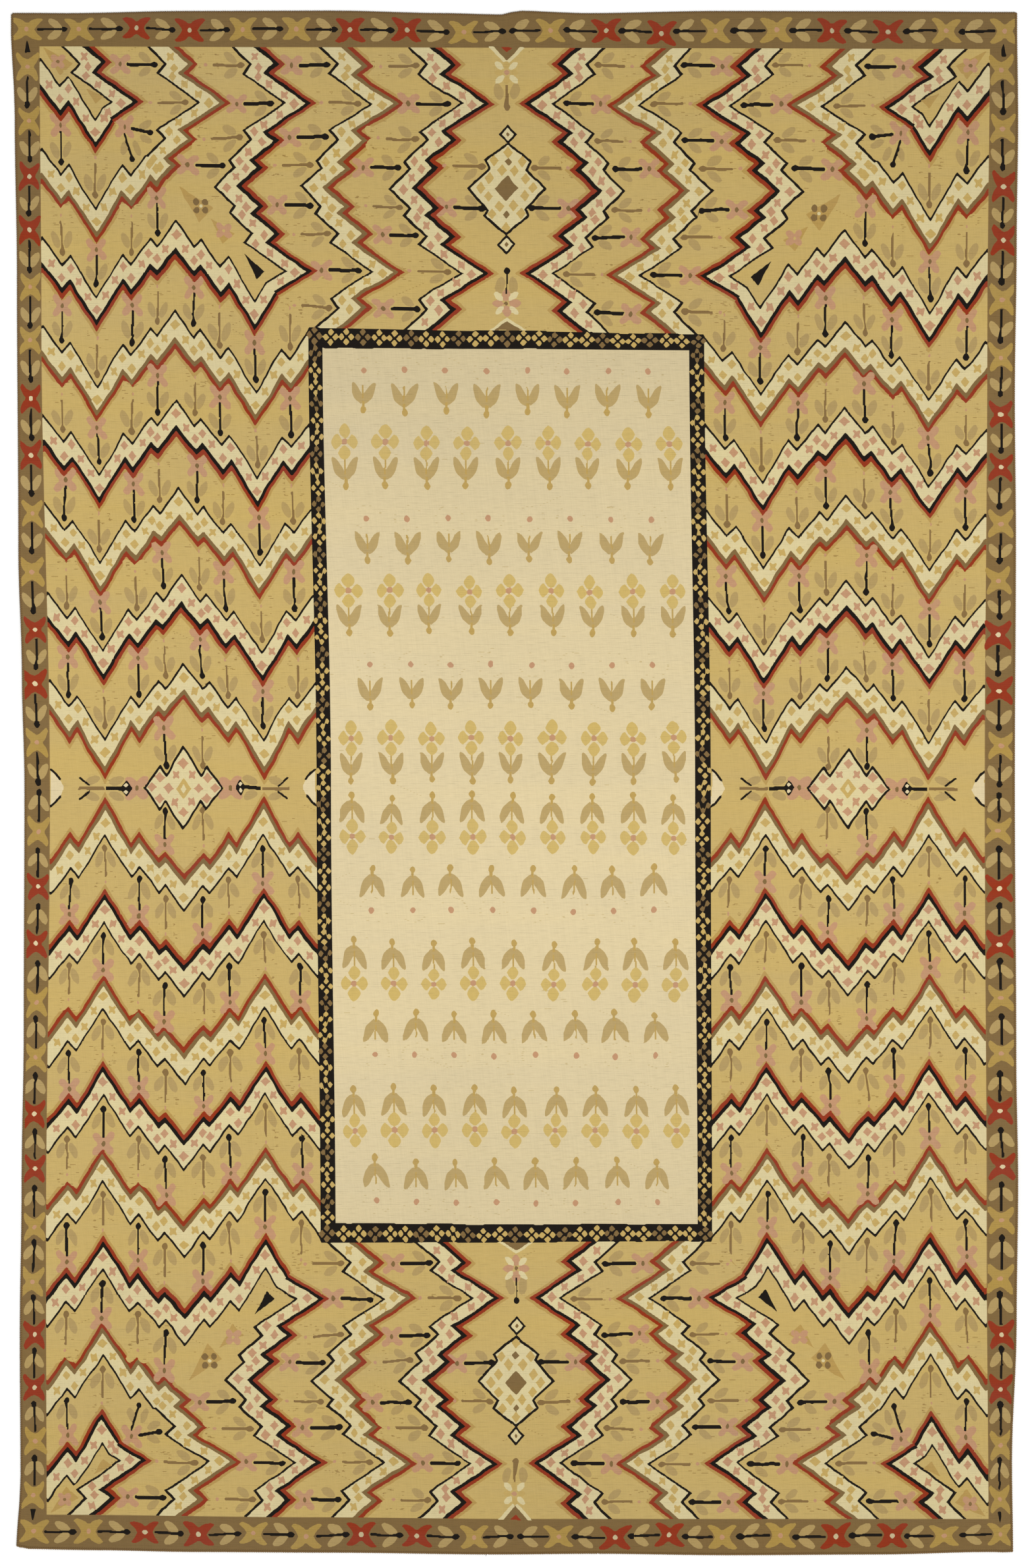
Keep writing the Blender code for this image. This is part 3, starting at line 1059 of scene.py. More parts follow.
def settle(rows, kinds, partner_height):
    """Heights on one line for a column's breaks: shared ones first, the others kept between.

    Where a wool ends at the line, its two breaks come nearer to each other: a blunt end.
    """
    shared = ~np.isnan(partner_height)
    low = np.maximum.accumulate(np.where(shared, partner_height, -1.0))
    partner_height = np.where(shared, low, partner_height)
    high = np.minimum.accumulate(np.where(shared, partner_height, ROWS + 1.0)[::-1])[::-1]
    heights = np.where(shared, partner_height, np.clip(rows, low, high))
    below, above = kinds // WOOL_SPACE % WOOL_SPACE, kinds % WOOL_SPACE
    last = -2
    for i in np.nonzero(~shared[:-1] & ~shared[1:] & (below[:-1] == above[1:]))[0]:
        if i > last + 1:
            pull = min(BLUNT_END, BLUNT_SHARE * (heights[i + 1] - heights[i]))
            heights[i] += pull
            heights[i + 1] -= pull
            last = i
    return heights


def pair_up(left, right, on_left, on_right, alike, reach):
    """Breaks of two columns that are alike, free and nearest to each other share one height."""
    gap = np.abs(left[0][:, None] - right[0][None, :])
    gap[~alike | ~np.isnan(on_left)[:, None] | ~np.isnan(on_right)[None, :]] = np.inf
    to_right, to_left = gap.argmin(axis=1), gap.argmin(axis=0)
    index = np.arange(len(to_right))
    mutual = np.nonzero((to_left[to_right] == index) & (gap[index, to_right] <= reach))[0]
    last = -1
    for i in mutual:
        j = to_right[i]
        if j > last:
            on_left[i] = on_right[j] = (left[0][i] + right[0][j]) / 2
            last = j


def beside_ties(column, partner, on_column, on_partner):
    """Free breaks whose partner lies on a tied row, or beyond it, with that row's height."""
    free = np.nonzero(np.isnan(on_column) & (column[1] < STRETCH_SPACE))[0]
    nearest = np.abs(column[0][free][:, None] - TIES[None, :]).argmin(axis=1)
    for i, tie in zip(free, nearest):
        if abs(column[0][i] - TIES[tie]) <= TIE_REACH:
            pair = column[1][i] % PAIR_SPACE
            beyond = np.isnan(on_partner) & (partner[1] % PAIR_SPACE == pair)
            near = (np.abs(partner[0][beyond] - TIES[tie]) <= TIE_REACH).any()
            if partner[2][tie] == pair or near:
                yield i, TIES[tie]


def meet(left, right, reach):
    """The heights of two neighbouring columns' breaks on the line between them.

    First come breaks between the same two wools, then those with one wool the same, so that
    a black stem keeps its thickness where a leaf beside it ends.
    """
    on_left, on_right = np.full(len(left[0]), np.nan), np.full(len(right[0]), np.nan)
    left_kinds, right_kinds = left[1][:, None], right[1][None, :]
    pair_up(left, right, on_left, on_right, left_kinds == right_kinds, reach)
    same_stretch = left_kinds // PAIR_SPACE == right_kinds // PAIR_SPACE
    same_below = left_kinds // WOOL_SPACE % WOOL_SPACE == right_kinds // WOOL_SPACE % WOOL_SPACE
    same_above = left_kinds % WOOL_SPACE == right_kinds % WOOL_SPACE
    half_alike = same_stretch & (same_below | same_above)
    pair_up(left, right, on_left, on_right, half_alike, HALF_ALIKE_REACH)
    moved_left = list(beside_ties(left, right, on_left, on_right))
    moved_right = list(beside_ties(right, left, on_right, on_left))
    for i, height in moved_left:
        on_left[i] = height
    for i, height in moved_right:
        on_right[i] = height
    return settle(*left[:2], on_left), settle(*right[:2], on_right)


# %% Points on every line
class Layer:
    """One face of the cloth: its breaks and the points on the lines between its columns."""

    def __init__(self, step, reach, first_id):
        self.step, self.grid = step, cartoon[:, ::step]
        columns = self.grid.shape[1]
        self.breaks = [breaks_of(self.grid[:, column]) for column in range(columns)]
        self.heights, self.ids = [], []
        self.left_index, self.right_index = [None] * columns, [None] * columns
        rim = np.arange(0, ROWS + 1, RIM_ROWS, dtype=float)
        for line in range(columns + 1):
            if line == 0:
                before, after = rim, self.breaks[0][0]
            elif line == columns:
                before, after = self.breaks[-1][0], rim
            else:
                before, after = meet(self.breaks[line - 1], self.breaks[line], reach)
            before, after = np.round(before, 3), np.round(after, 3)
            heights = np.unique(np.concatenate((before, after)))
            if line > 0:
                self.right_index[line - 1] = np.searchsorted(heights, before)
            if line < columns:
                self.left_index[line] = np.searchsorted(heights, after)
            self.heights.append(heights)
            self.ids.append(first_id + np.arange(len(heights)))
            first_id += len(heights)
        self.next_id = first_id

    def side_chain(self, column, line, knots, rows):
        """One side of a strip: a place in the column for each point, and the point's number."""
        counts = np.maximum(1, np.diff(knots))
        run = np.repeat(np.arange(len(counts)), counts)
        offset = np.arange(len(run)) - np.repeat(np.cumsum(counts) - counts, counts)
        index = knots[run] + offset
        heights = self.heights[line]
        span = heights[knots[run + 1]] - heights[knots[run]]
        share = np.where(span > 0, (heights[index] - heights[knots[run]]) / np.maximum(span, 1e-6), 0.0)
        places = rows[run] + share * (rows[run + 1] - rows[run])
        return np.append(places, rows[-1]), self.ids[line][np.append(index, knots[-1])]

    def strip(self, column, low, high):
        """The chains on both sides of one column between two rows."""
        rows = self.breaks[column][0]
        part = slice(np.searchsorted(rows, low), np.searchsorted(rows, high) + 1)
        left = self.side_chain(column, column, self.left_index[column][part], rows[part])
        right = self.side_chain(column, column + 1, self.right_index[column][part], rows[part])
        return left, right

    def line_chain(self, line, low, high):
        """All points of one line between two rows."""
        heights = self.heights[line]
        part = slice(np.searchsorted(heights, low), np.searchsorted(heights, high) + 1)
        return heights[part], self.ids[line][part]

    def tie_chain(self, row, left, right):
        """The points of one tied row between two lines of the cartoon."""
        lines = np.arange(left, right + 1, self.step)
        ids = [self.ids[i // self.step][np.searchsorted(self.heights[i // self.step], row)] for i in lines]
        return lines.astype(float), np.array(ids)


upper = Layer(1, STEP_REACH, 0)
under = Layer(UNDERSIDE_STEP, STEP_REACH_BELOW, upper.next_id)
print("points above and below:", upper.next_id, under.next_id - upper.next_id)


# %% Every point's place and its thread coordinates
def places_of(layer, raise_by):
    """Places in metres and thread coordinates of a layer's points, line by line."""
    row = np.concatenate(layer.heights)
    line = np.repeat(np.arange(len(layer.heights)) * layer.step, [len(h) for h in layer.heights])
    whole = np.minimum(row.astype(int), ROWS - 1)
    part = row - whole
    x = place_x[whole, line] * (1 - part) + place_x[whole + 1, line] * part
    y = place_y[whole, line] * (1 - part) + place_y[whole + 1, line] * part
    z = lift_at(x, y) + raise_by
    return np.stack((x, y, z), axis=1) / 1000, np.stack((line, row / ROWS_A_WARP), axis=1)


upper_at, upper_threads = places_of(upper, THICKNESS + floor_z * 1000)
under_at, under_threads = places_of(under, floor_z * 1000)
points_at = np.concatenate((upper_at, under_at))
threads_at = np.concatenate((upper_threads, under_threads))


# %% Zip two chains of points
def zip_chains(first, second):
    """Triangles between two chains that begin and end together, and where each step starts.

    They face the way of (second - first) x (direction of the chains).
    """
    (first, first_ids), (second, second_ids) = first, second
    first_mid, second_mid = first[:-1] + first[1:], second[:-1] + second[1:]
    across = np.searchsorted(second_mid, first_mid, side="left")
    back = np.searchsorted(first_mid, second_mid, side="right")
    on_first = np.stack((first_ids[:-1], second_ids[across], first_ids[1:]), axis=1)
    on_second = np.stack((second_ids[:-1], second_ids[1:], first_ids[back]), axis=1)
    triangles, starts = np.concatenate((on_first, on_second)), np.concatenate((first[:-1], second[:-1]))
    real = (triangles[:, 0] != triangles[:, 2]) & (triangles[:, 0] != triangles[:, 1])
    return triangles[real], (starts[real] + 1e-4).astype(int)


def zip_block(left, right, low, high):
    """All triangles of one closed block of the cloth, with the wool of each."""
    faces, wools = [], []
    for column in range(left, right):
        triangles, starts = zip_chains(*upper.strip(column, low, high))
        faces.append(triangles)
        wools.append(cartoon[starts, column])
    for column in range(left // UNDERSIDE_STEP, right // UNDERSIDE_STEP):
        triangles, starts = zip_chains(*under.strip(column, low, high)[::-1])
        faces.append(triangles)
        wools.append(under.grid[starts, column])
    for line, column, upper_first in ((left, left, False), (right, right - 1, True)):
        pair = (upper.line_chain(line, low, high), under.line_chain(line // UNDERSIDE_STEP, low, high))
        triangles, starts = zip_chains(*(pair if upper_first else pair[::-1]))
        faces.append(triangles)
        wools.append(cartoon[np.minimum(starts, high - 1), column])
    for edge, row, upper_first in ((low, low, True), (high, high - 1, False)):
        pair = (upper.tie_chain(edge, left, right), under.tie_chain(edge, left, right))
        triangles, starts = zip_chains(*(pair if upper_first else pair[::-1]))
        faces.append(triangles)
        wools.append(cartoon[row, np.minimum(starts, right - 1)])
    return np.concatenate(faces), np.concatenate(wools)


# %% [markdown]
# ## Two shared effects
# All wools share one look. The first node group is the relief: ribs over the hidden warps,
# and on each rib the imported picks, shifted by half a pick from rib to rib as the weave
# alternates. Where the wefts are packed well the groove between two ribs all but closes. It
# reads the thread coordinates, so the ribs follow their warps. The second
# is the tone: dye lots that change from one stretch of weft to the next, soft soiling in
# broad patches, a darkening towards both ends of the rug, painted shade in the grooves
# between the ribs, and small differences from yarn to yarn. Both give only colours and
# heights.


# %% Helpers for node groups
def new_group(name, inputs, outputs):
    """An empty node group with named sockets, and its input and output nodes."""
    group = bpy.data.node_groups.new(name, "ShaderNodeTree")
    for socket, kind, value in inputs:
        made = group.interface.new_socket(socket, in_out="INPUT", socket_type=kind)
        made.default_value = value
    for socket, kind in outputs:
        group.interface.new_socket(socket, in_out="OUTPUT", socket_type=kind)
    return group, group.nodes.new("NodeGroupInput"), group.nodes.new("NodeGroupOutput")


def math_node(tree, operation, first, second=None, third=None):
    """A Math node whose inputs are sockets or numbers. Returns its output."""
    node = tree.nodes.new("ShaderNodeMath")
    node.operation = operation
    for socket, value in zip(node.inputs, (first, second, third)):
        if isinstance(value, (int, float)):
            socket.default_value = value
        elif value is not None:
            tree.links.new(value, socket)
    return node.outputs[0]


def wave_node(tree, threads):
    """One round bump for each thread: the size of a sine of its number. Returns its output."""
    half_turns = math_node(tree, "MULTIPLY", threads, math.pi)
    return math_node(tree, "ABSOLUTE", math_node(tree, "SINE", half_turns))


def noise_node(tree, vector, scale, detail=2.0, roughness=0.5):
    """A Noise Texture on a stretched vector. Returns its value."""
    stretch = tree.nodes.new("ShaderNodeVectorMath")
    stretch.operation = "MULTIPLY"
    tree.links.new(vector, stretch.inputs[0])
    stretch.inputs[1].default_value = scale
    noise = tree.nodes.new("ShaderNodeTexNoise")
    noise.inputs["Scale"].default_value = 1.0
    noise.inputs["Detail"].default_value = detail
    noise.inputs["Roughness"].default_value = roughness
    tree.links.new(stretch.outputs[0], noise.inputs["Vector"])
    return noise.outputs["Fac"]


# %% The weave's relief
RIB_FULLNESS = 0.55
PACKING_SCALE = (0.07, 0.85, 1.0)
PACKED_UP_TO, LOOSE_GAIN, LOOSE_LEAST, LOOSE_MOST = 0.44, 4.0, 0.05, 1.3
YARN_CHANGES_A_WARP = 0.09


def weave_group():
    group, given, result = new_group(
        "weft-faced weave",
        [("Pick depth", "NodeSocketFloat", 0.35)],
        [("Height", "NodeSocketFloat"), ("Groove", "NodeSocketFloat"), ("Yarn", "NodeSocketFloat")],
    )
    threads = group.nodes.new("ShaderNodeUVMap")
    threads.uv_map = "threads"
    parts = group.nodes.new("ShaderNodeSeparateXYZ")
    group.links.new(threads.outputs["UV"], parts.inputs[0])
    pick_pair, warp = parts.outputs["X"], parts.outputs["Y"]
    rib = math_node(group, "POWER", wave_node(group, warp), RIB_FULLNESS)
    warp_number = math_node(group, "FLOOR", warp)
    picks = math_node(group, "MULTIPLY_ADD", pick_pair, 2.0, math_node(group, "MULTIPLY", warp_number, 0.5))
    pick = wave_node(group, picks)
    packing = noise_node(group, threads.outputs["UV"], PACKING_SCALE, detail=1.0)
    loose = math_node(group, "MULTIPLY", math_node(group, "SUBTRACT", packing, PACKED_UP_TO), LOOSE_GAIN)
    loose = math_node(group, "MINIMUM", math_node(group, "MAXIMUM", loose, LOOSE_LEAST), LOOSE_MOST)
    groove = math_node(group, "MULTIPLY", math_node(group, "SUBTRACT", 1.0, rib), loose)
    height = math_node(group, "MULTIPLY", pick, given.outputs["Pick depth"])
    height = math_node(group, "SUBTRACT", height, groove)
    pick_number = math_node(group, "FLOOR", picks)
    number = group.nodes.new("ShaderNodeCombineXYZ")
    stretch = math_node(group, "FLOOR", math_node(group, "MULTIPLY", warp, YARN_CHANGES_A_WARP))
    group.links.new(stretch, number.inputs[0])
    group.links.new(pick_number, number.inputs[1])
    random = group.nodes.new("ShaderNodeTexWhiteNoise")
    random.noise_dimensions = "2D"
    group.links.new(number.outputs[0], random.inputs["Vector"])
    group.links.new(height, result.inputs["Height"])
    group.links.new(groove, result.inputs["Groove"])
    group.links.new(random.outputs["Value"], result.inputs["Yarn"])
    return group


# %% The tone of the dyed wool, with painted shade in the grooves
# The first line sets how the colour darkens towards both ends of the rug, least 0.17 m from its middle
# towards the low end.
END_DARKENING_REACH, END_DARKENING_MIDDLE = 2.1, -0.17
SOIL_SHARE, STREAK_SHARE, YARN_SHARE = 0.12, 0.16, 0.05
# The groove shade is painted shade: it darkens the colour in the grooves between the ribs.
FULL_SHADE, GROOVE_SHADE = 0.965, -0.13
LOT_ON_SATURATION = 1.2


def tone_and_groove_shade_group():
    group, given, result = new_group(
        "dyed wool tone and painted groove shade",
        [
            ("Wool", "NodeSocketColor", (0.5, 0.4, 0.2, 1.0)),
            ("Groove", "NodeSocketFloat", 0.0),
            ("Yarn", "NodeSocketFloat", 0.5),
            ("Abrash", "NodeSocketFloat", 0.12),
            ("End darkening", "NodeSocketFloat", 0.15),
            ("Middle level", "NodeSocketFloat", 0.5),
        ],
        [("Colour", "NodeSocketColor")],
    )
    place = group.nodes.new("ShaderNodeTexCoord").outputs["Object"]
    dye_lot = noise_node(group, place, (0.7, 9.0, 1.0), detail=3.0, roughness=0.6)
    soiling = noise_node(group, place, (1.6, 1.3, 1.0), detail=4.0, roughness=0.6)
    streak = noise_node(group, place, (30.0, 420.0, 1.0), detail=1.0)
    parts = group.nodes.new("ShaderNodeSeparateXYZ")
    group.links.new(place, parts.inputs[0])
    # The colour darkens towards both ends of the rug, by the square of the distance along it.
    from_middle = math_node(group, "SUBTRACT", parts.outputs["Y"], END_DARKENING_MIDDLE)
    reach = math_node(group, "DIVIDE", from_middle, END_DARKENING_REACH)
    reach_squared = math_node(group, "MULTIPLY", reach, reach)
    end_level = math_node(group, "SUBTRACT", given.outputs["Middle level"], reach_squared)
    end_darkening = math_node(group, "MULTIPLY", end_level, given.outputs["End darkening"])
    lot = math_node(group, "MULTIPLY", math_node(group, "SUBTRACT", dye_lot, 0.5), given.outputs["Abrash"])
    soil = math_node(group, "MULTIPLY", math_node(group, "SUBTRACT", soiling, 0.5), SOIL_SHARE)
    fine = math_node(group, "MULTIPLY", math_node(group, "SUBTRACT", streak, 0.5), STREAK_SHARE)
    yarn = math_node(group, "SUBTRACT", given.outputs["Yarn"], 0.5)
    yarn = math_node(group, "MULTIPLY", yarn, YARN_SHARE)
    # Painted shade: the colour darkens in the grooves between the ribs.
    shade = math_node(group, "MULTIPLY_ADD", given.outputs["Groove"], GROOVE_SHADE, FULL_SHADE)
    total = math_node(group, "ADD", math_node(group, "ADD", lot, soil), math_node(group, "ADD", fine, yarn))
    value = math_node(group, "ADD", math_node(group, "ADD", total, end_darkening), shade)
    tint = group.nodes.new("ShaderNodeHueSaturation")
    group.links.new(given.outputs["Wool"], tint.inputs["Color"])
    group.links.new(value, tint.inputs["Value"])
    saturation = math_node(group, "MULTIPLY_ADD", lot, LOT_ON_SATURATION, 1.0)
    group.links.new(saturation, tint.inputs["Saturation"])
    group.links.new(tint.outputs["Color"], result.inputs["Colour"])
    return group


WEAVE, TONE_AND_GROOVE_SHADE = weave_group(), tone_and_groove_shade_group()


# %% One material for each wool
CREAM_END_DARKENING, CREAM_MIDDLE_LEVEL = 0.36, 0.06
BUMP_STRENGTH, BUMP_DISTANCE = 0.75, 0.0004
TWIST_SCALE = 900.0


def linear(screen):
    """A screen colour from 0 to 255 as the linear colour that shaders use."""
    parts = [c / 255 for c in screen]
    return tuple(c / 12.92 if c <= 0.04045 else ((c + 0.055) / 1.055) ** 2.4 for c in parts) + (1.0,)


def wool_material(name, screen, woven=True):
    material = bpy.data.materials.new(f"wool_{name}")
    material.use_nodes = True
    tree = material.node_tree
    shader = tree.nodes["Principled BSDF"]
    shader.inputs["Roughness"].default_value = 0.92
    shader.inputs["Specular IOR Level"].default_value = 0.10
    shader.inputs["Sheen Weight"].default_value = 0.03
    tone = tree.nodes.new("ShaderNodeGroup")
    tone.node_tree = TONE_AND_GROOVE_SHADE
    tone.inputs["Wool"].default_value = linear(screen)
    # The cream grounds darken more towards the ends.
    if name.startswith("cream"):
        tone.inputs["End darkening"].default_value = CREAM_END_DARKENING
        tone.inputs["Middle level"].default_value = CREAM_MIDDLE_LEVEL
    tree.links.new(tone.outputs["Colour"], shader.inputs["Base Color"])
    bump = tree.nodes.new("ShaderNodeBump")
    bump.inputs["Strength"].default_value = BUMP_STRENGTH
    bump.inputs["Distance"].default_value = BUMP_DISTANCE
    tree.links.new(bump.outputs["Normal"], shader.inputs["Normal"])
    if woven:
        weave = tree.nodes.new("ShaderNodeGroup")
        weave.node_tree = WEAVE
        tree.links.new(weave.outputs["Height"], bump.inputs["Height"])
        tree.links.new(weave.outputs["Groove"], tone.inputs["Groove"])
        tree.links.new(weave.outputs["Yarn"], tone.inputs["Yarn"])
    else:
        place = tree.nodes.new("ShaderNodeTexCoord").outputs["Object"]
        twist = noise_node(tree, place, (TWIST_SCALE, TWIST_SCALE, TWIST_SCALE), detail=2.0)
        tree.links.new(twist, bump.inputs["Height"])
    return material


materials = [wool_material(name, screen) for name, screen in WOOLS.items()]
print(len(materials), "materials for the web")


# %% Make the nine blocks of the web
SHARP_ANGLE = 50


def make_block(name, left, right, low, high):
    triangles, wools = zip_block(left, right, low, high)
    used, local = np.unique(triangles, return_inverse=True)
    local = local.reshape(-1, 3)
    mesh = bpy.data.meshes.new(name)
    mesh.from_pydata(points_at[used].tolist(), [], local.tolist())
    threads = mesh.uv_layers.new(name="threads")
    threads.data.foreach_set("uv", threads_at[used][local.ravel()].ravel())
    kinds, kind_of = np.unique(wools, return_inverse=True)
    for kind in kinds:
        mesh.materials.append(materials[kind])
    mesh.polygons.foreach_set("material_index", kind_of.ravel())
    mesh.polygons.foreach_set("use_smooth", np.ones(len(local), bool))
    mesh.set_sharp_from_angle(angle=math.radians(SHARP_ANGLE))
    mesh.update()
    block = bpy.data.objects.new(name, mesh)
    bpy.context.scene.collection.objects.link(block)
    return block, len(local)


blocks = []
triangle_total = 0
for row in range(BLOCKS_A_SIDE):
    for column in range(BLOCKS_A_SIDE):
        sides = BLOCK_LINES_X[column:column + 2] + BLOCK_LINES_Y[row:row + 2]
        block, count = make_block(f"web_{row + 1}{column + 1}", *sides)
        blocks.append((block, sides))
        triangle_total += count
        print(block.name, count, "triangles")
print("web:", triangle_total, "triangles")

# %% [markdown]
# ## The overcast edge
# All round, a strong yarn is sewn over the edge so that it doesn't fray. Its turns repeat
# thousands of times along one path, which is what Geometry Nodes are for: the path is cut
# into equal steps, and one small turn of yarn is set on each, facing along the path.


# %% The path of the edge
PATH_ROWS, PATH_COLUMNS = 10, 12


def edge_path():
    """The web's rim as a closed loop of places, anticlockwise, in metres."""
    rows = np.arange(0, ROWS, PATH_ROWS)
    lines = np.arange(0, COLUMNS, PATH_COLUMNS)
    low = [(place_x[0, i], place_y[0, i]) for i in lines]
    right = [(place_x[i, -1], place_y[i, -1]) for i in rows]
    high = [(place_x[-1, -1 - i], place_y[-1, -1 - i]) for i in lines]
    left = [(place_x[-1 - i, 0], place_y[-1 - i, 0]) for i in rows]
    return np.array(low + right + high + left) / 1000


path = edge_path()
edge_length = float(np.linalg.norm(path - np.roll(path, 1, axis=0), axis=1).sum())
path_mesh = bpy.data.meshes.new("edge_path")
lifts = lift_at(path[:, 0] * 1000, path[:, 1] * 1000) / 1000
path_points = [(x, y, floor_z + THICKNESS / 2000 + z) for (x, y), z in zip(path, lifts)]
path_mesh.from_pydata(path_points, [(i, (i + 1) % len(path)) for i in range(len(path))], [])
print(f"edge of {edge_length:.2f} m")


# %% The tree that sews the edge
TURN_SIZES = {
    "Turn spacing": 0.0062,
    "Turn length": 0.0044,
    "Turn width": 0.0045,
    "Yarn radius": 0.0026,
}
LEAST_SLANT, MOST_SLANT = (0.0, -0.12, 0.10), (0.0, 0.12, 0.42)


def overcast_tree(yarn):
    tree = bpy.data.node_groups.new("overcast edge", "GeometryNodeTree")
    tree.interface.new_socket("Path", in_out="INPUT", socket_type="NodeSocketGeometry")
    for name, value in TURN_SIZES.items():
        tree.interface.new_socket(name, in_out="INPUT", socket_type="NodeSocketFloat").default_value = value
    tree.interface.new_socket("Seed", in_out="INPUT", socket_type="NodeSocketInt").default_value = 7
    tree.interface.new_socket("Edge", in_out="OUTPUT", socket_type="NodeSocketGeometry")
    nodes, links = tree.nodes, tree.links
    given, result = nodes.new("NodeGroupInput"), nodes.new("NodeGroupOutput")
    curve = nodes.new("GeometryNodeMeshToCurve")
    links.new(given.outputs["Path"], curve.inputs["Mesh"])
    cut = nodes.new("GeometryNodeResampleCurve")
    cut.mode = "LENGTH"
    links.new(curve.outputs["Curve"], cut.inputs["Curve"])
    links.new(given.outputs["Turn spacing"], cut.inputs["Length"])
    turn = nodes.new("GeometryNodeMeshUVSphere")
    turn.inputs["Segments"].default_value = 8
    turn.inputs["Rings"].default_value = 4
    turn.inputs["Radius"].default_value = 1.0
    size = nodes.new("ShaderNodeCombineXYZ")
    links.new(given.outputs["Turn width"], size.inputs["X"])
    links.new(given.outputs["Turn length"], size.inputs["Y"])
    links.new(given.outputs["Yarn radius"], size.inputs["Z"])
    shaped = nodes.new("GeometryNodeTransform")
    links.new(turn.outputs["Mesh"], shaped.inputs["Geometry"])
    links.new(size.outputs[0], shaped.inputs["Scale"])
    tangent = nodes.new("GeometryNodeInputTangent")
    facing = nodes.new("FunctionNodeAlignRotationToVector")
    facing.axis = "Y"
    facing.pivot_axis = "Z"
    links.new(tangent.outputs["Tangent"], facing.inputs["Vector"])
    slant = nodes.new("FunctionNodeRandomValue")
    slant.data_type = "FLOAT_VECTOR"
    slant.inputs[0].default_value = LEAST_SLANT
    slant.inputs[1].default_value = MOST_SLANT
    links.new(given.outputs["Seed"], slant.inputs["Seed"])
    slanted = nodes.new("FunctionNodeRotateRotation")
    slanted.rotation_space = "LOCAL"
    links.new(facing.outputs["Rotation"], slanted.inputs["Rotation"])
    links.new(slant.outputs["Value"], slanted.inputs["Rotate By"])
    place = nodes.new("GeometryNodeInstanceOnPoints")
    links.new(cut.outputs["Curve"], place.inputs["Points"])
    links.new(shaped.outputs["Geometry"], place.inputs["Instance"])
    links.new(slanted.outputs["Rotation"], place.inputs["Rotation"])
    real = nodes.new("GeometryNodeRealizeInstances")
    links.new(place.outputs["Instances"], real.inputs["Geometry"])
    smooth = nodes.new("GeometryNodeSetShadeSmooth")
    links.new(real.outputs["Geometry"], smooth.inputs["Geometry"])
    finish = nodes.new("GeometryNodeSetMaterial")
    finish.inputs["Material"].default_value = yarn
    links.new(smooth.outputs["Geometry"], finish.inputs["Geometry"])
    links.new(finish.outputs["Geometry"], result.inputs["Edge"])
    return tree


def made_by(tree, start_mesh, name, values):
    """A plain mesh object from a Geometry Nodes tree, with the modifier gone."""
    holder = bpy.data.objects.new(name + "_path", start_mesh)
    bpy.context.scene.collection.objects.link(holder)
    modifier = holder.modifiers.new(name, "NODES")
    modifier.node_group = tree
    for item in tree.interface.items_tree:
        if item.item_type == "SOCKET" and item.in_out == "INPUT" and item.name in values:
            modifier[item.identifier] = values[item.name]
    evaluated = holder.evaluated_get(bpy.context.evaluated_depsgraph_get())
    mesh = bpy.data.meshes.new_from_object(evaluated)
    holder.modifiers.remove(modifier)
    bpy.data.objects.remove(holder)
    made = bpy.data.objects.new(name, mesh)
    bpy.context.scene.collection.objects.link(made)
    return made


edge_yarn = wool_material("edge", (118, 92, 56), woven=False)
edge = made_by(overcast_tree(edge_yarn), path_mesh, "overcast_edge", TURN_SIZES)
print("edge:", len(edge.data.polygons), "faces")

# %% [markdown]
# Two yarn ends hang loose from the lower edge, each about a centimetre long. Each is a
# short tube that thins towards its tip and belongs to the same piece as the edge.

# %% Loose yarn ends
LOOSE_END_PIXELS = (
    ((740.0, 2357.0), (739.2, 2359.6), (737.4, 2362.8)),
    ((906.5, 2357.0), (908.4, 2358.6), (910.2, 2360.6)),
)
LOOSE_RADII = (0.0016, 0.0015, 0.0007)
TUBE_SIDES = 8


def add_loose_end(mesh_maker, pixels):
    """A closed tube through three places, flat on the floor."""
    places = [
        ((x - MIDDLE_PIXEL[0]) * PIXEL / 1000, (MIDDLE_PIXEL[1] - y) * PIXEL / 1000)
        for x, y in pixels
    ]
    rings = []
    for (x, y), radius in zip(places, LOOSE_RADII):
        run_x, run_y = places[2][0] - places[0][0], places[2][1] - places[0][1]
        length = math.hypot(run_x, run_y)
        ring = []
        for side_number in range(TUBE_SIDES):
            angle = 2 * math.pi * side_number / TUBE_SIDES
            aside, up = radius * math.cos(angle), radius * math.sin(angle)
            at = (x + aside * run_y / length, y - aside * run_x / length, floor_z + radius + up)
            ring.append(mesh_maker.verts.new(at))
        rings.append(ring)
    for first, second in zip(rings, rings[1:]):
        for i in range(TUBE_SIDES):
            j = (i + 1) % TUBE_SIDES
            mesh_maker.faces.new((first[i], first[j], second[j], second[i])).smooth = True
    mesh_maker.faces.new(rings[0][::-1])
    mesh_maker.faces.new(rings[-1])


joined = bmesh.new()
joined.from_mesh(edge.data)
for pixels in LOOSE_END_PIXELS:
    add_loose_end(joined, pixels)
joined.to_mesh(edge.data)
joined.free()
print("edge and loose ends:", len(edge.data.polygons), "faces")

# %% [markdown]
# ## The stage
# The photograph is taken from straight above with a long lens, in even light, on white. So
# the camera looks down from 12 metres. Its lens is set so that the rug fills the frame as
# it does there. A broad light from one side lets the ribs show, and a white sky fills in.

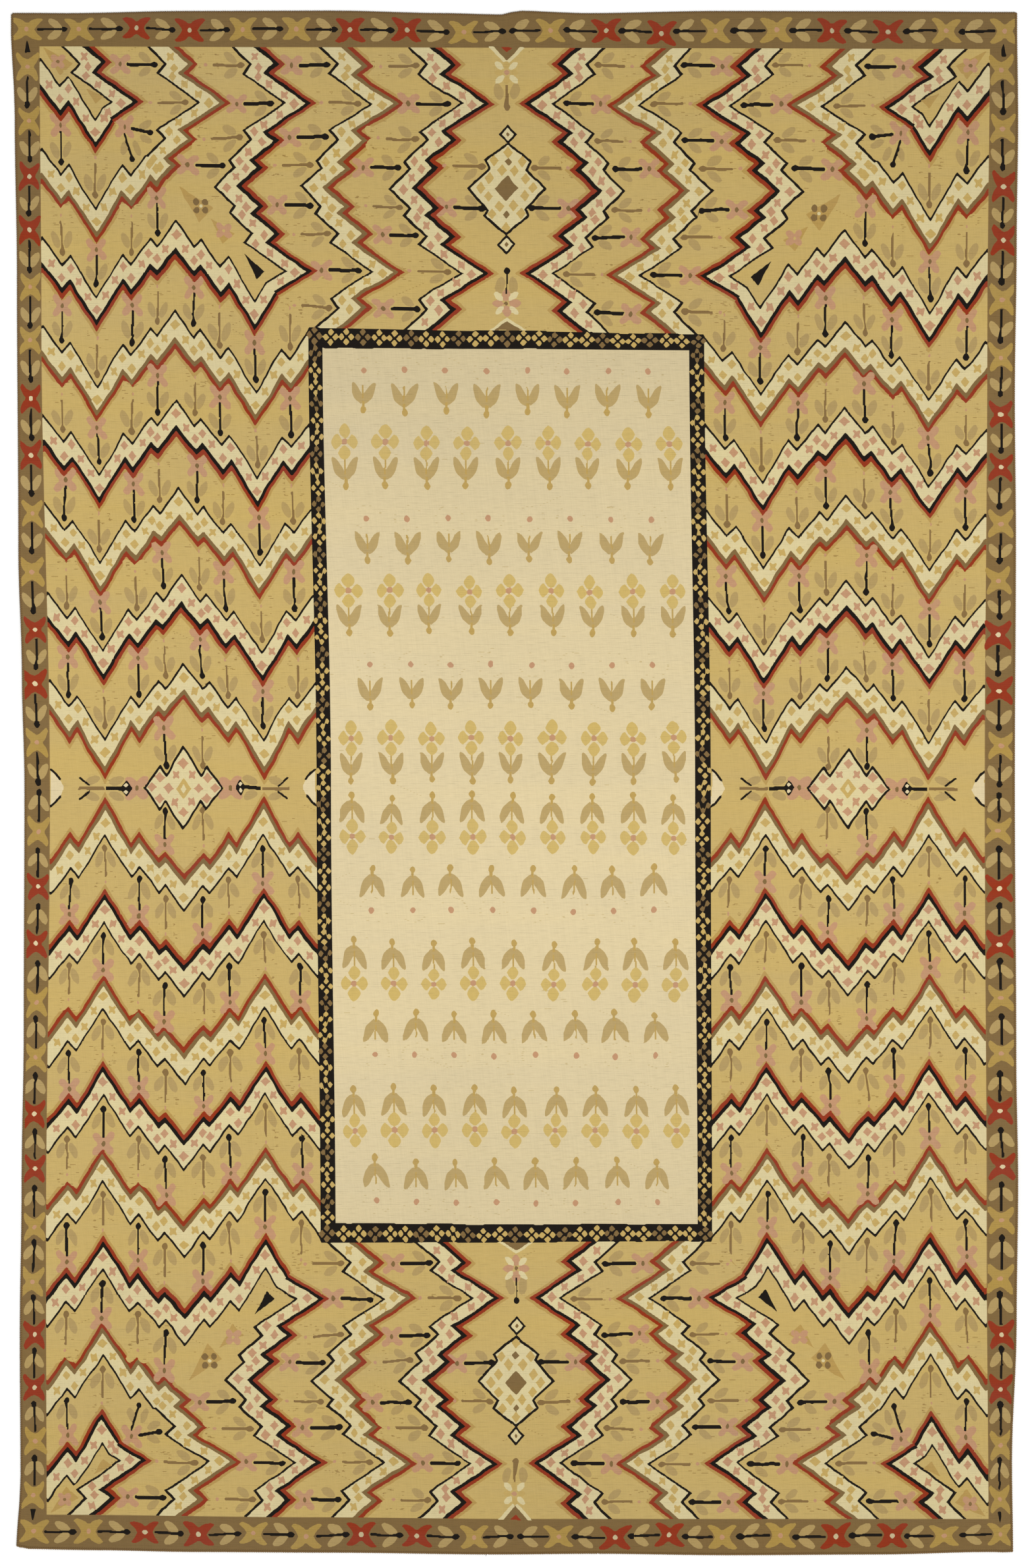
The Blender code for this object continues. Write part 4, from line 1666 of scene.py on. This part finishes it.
# %% Floor
REACH = 9.0
FLOOR_WHITE = (0.96, 0.96, 0.95, 1.0)
floor_mesh = bpy.data.meshes.new("floor")
floor_corners = [(-REACH, -REACH, 0), (REACH, -REACH, 0), (REACH, REACH, 0), (-REACH, REACH, 0)]
floor_mesh.from_pydata(floor_corners, [], [(0, 1, 2, 3)])
floor = bpy.data.objects.new("floor", floor_mesh)
floor.location.z = floor_z - 0.0002
bpy.context.scene.collection.objects.link(floor)
floor_material = bpy.data.materials.new("floor")
floor_material.use_nodes = True
floor_shader = floor_material.node_tree.nodes["Principled BSDF"]
floor_shader.inputs["Base Color"].default_value = FLOOR_WHITE
floor_shader.inputs["Roughness"].default_value = 0.9
floor_shader.inputs["Specular IOR Level"].default_value = 0.1
floor_mesh.materials.append(floor_material)

# %% Light
SKY, SUN, SUN_TILT, SUN_TURN, SUN_BREADTH = 0.67, 1.90, 48.0, 35.0, 25.0
world = bpy.data.worlds.new("studio")
world.use_nodes = True
world.node_tree.nodes["Background"].inputs["Color"].default_value = (1.0, 1.0, 1.0, 1.0)
world.node_tree.nodes["Background"].inputs["Strength"].default_value = SKY
bpy.context.scene.world = world
sun_data = bpy.data.lights.new("window", "SUN")
sun_data.energy = SUN
sun_data.angle = math.radians(SUN_BREADTH)
sun = bpy.data.objects.new("window", sun_data)
sun.rotation_euler = (math.radians(SUN_TILT), 0.0, math.radians(SUN_TURN))
bpy.context.scene.collection.objects.link(sun)
bpy.context.scene.view_settings.view_transform = "Standard"

# %% Camera
FRAME_PIXELS = (1566, 2380)
CAMERA_HEIGHT = 12.0
SENSOR_HEIGHT = 36.0
camera_data = bpy.data.cameras.new("camera")
camera_data.sensor_fit = "VERTICAL"
camera_data.sensor_height = SENSOR_HEIGHT
camera_data.lens = SENSOR_HEIGHT * CAMERA_HEIGHT / (FRAME_PIXELS[1] * PIXEL / 1000)
camera_data.clip_end = 100.0
camera = bpy.data.objects.new("camera", camera_data)
aim_x = (FRAME_PIXELS[0] / 2 - MIDDLE_PIXEL[0]) * PIXEL / 1000
aim_y = (MIDDLE_PIXEL[1] - FRAME_PIXELS[1] / 2) * PIXEL / 1000
camera.location = (aim_x, aim_y, top_z + CAMERA_HEIGHT)
bpy.context.scene.collection.objects.link(camera)
bpy.context.scene.camera = camera
print(f"lens {camera_data.lens:.1f} mm")

# %% [markdown]
# ## Which piece stands for what
# Every block and the edge ride on the one body and stand for the solid of the rug.

for piece in [block for block, _ in blocks] + [edge]:
    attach(piece, "root")
    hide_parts("rug")
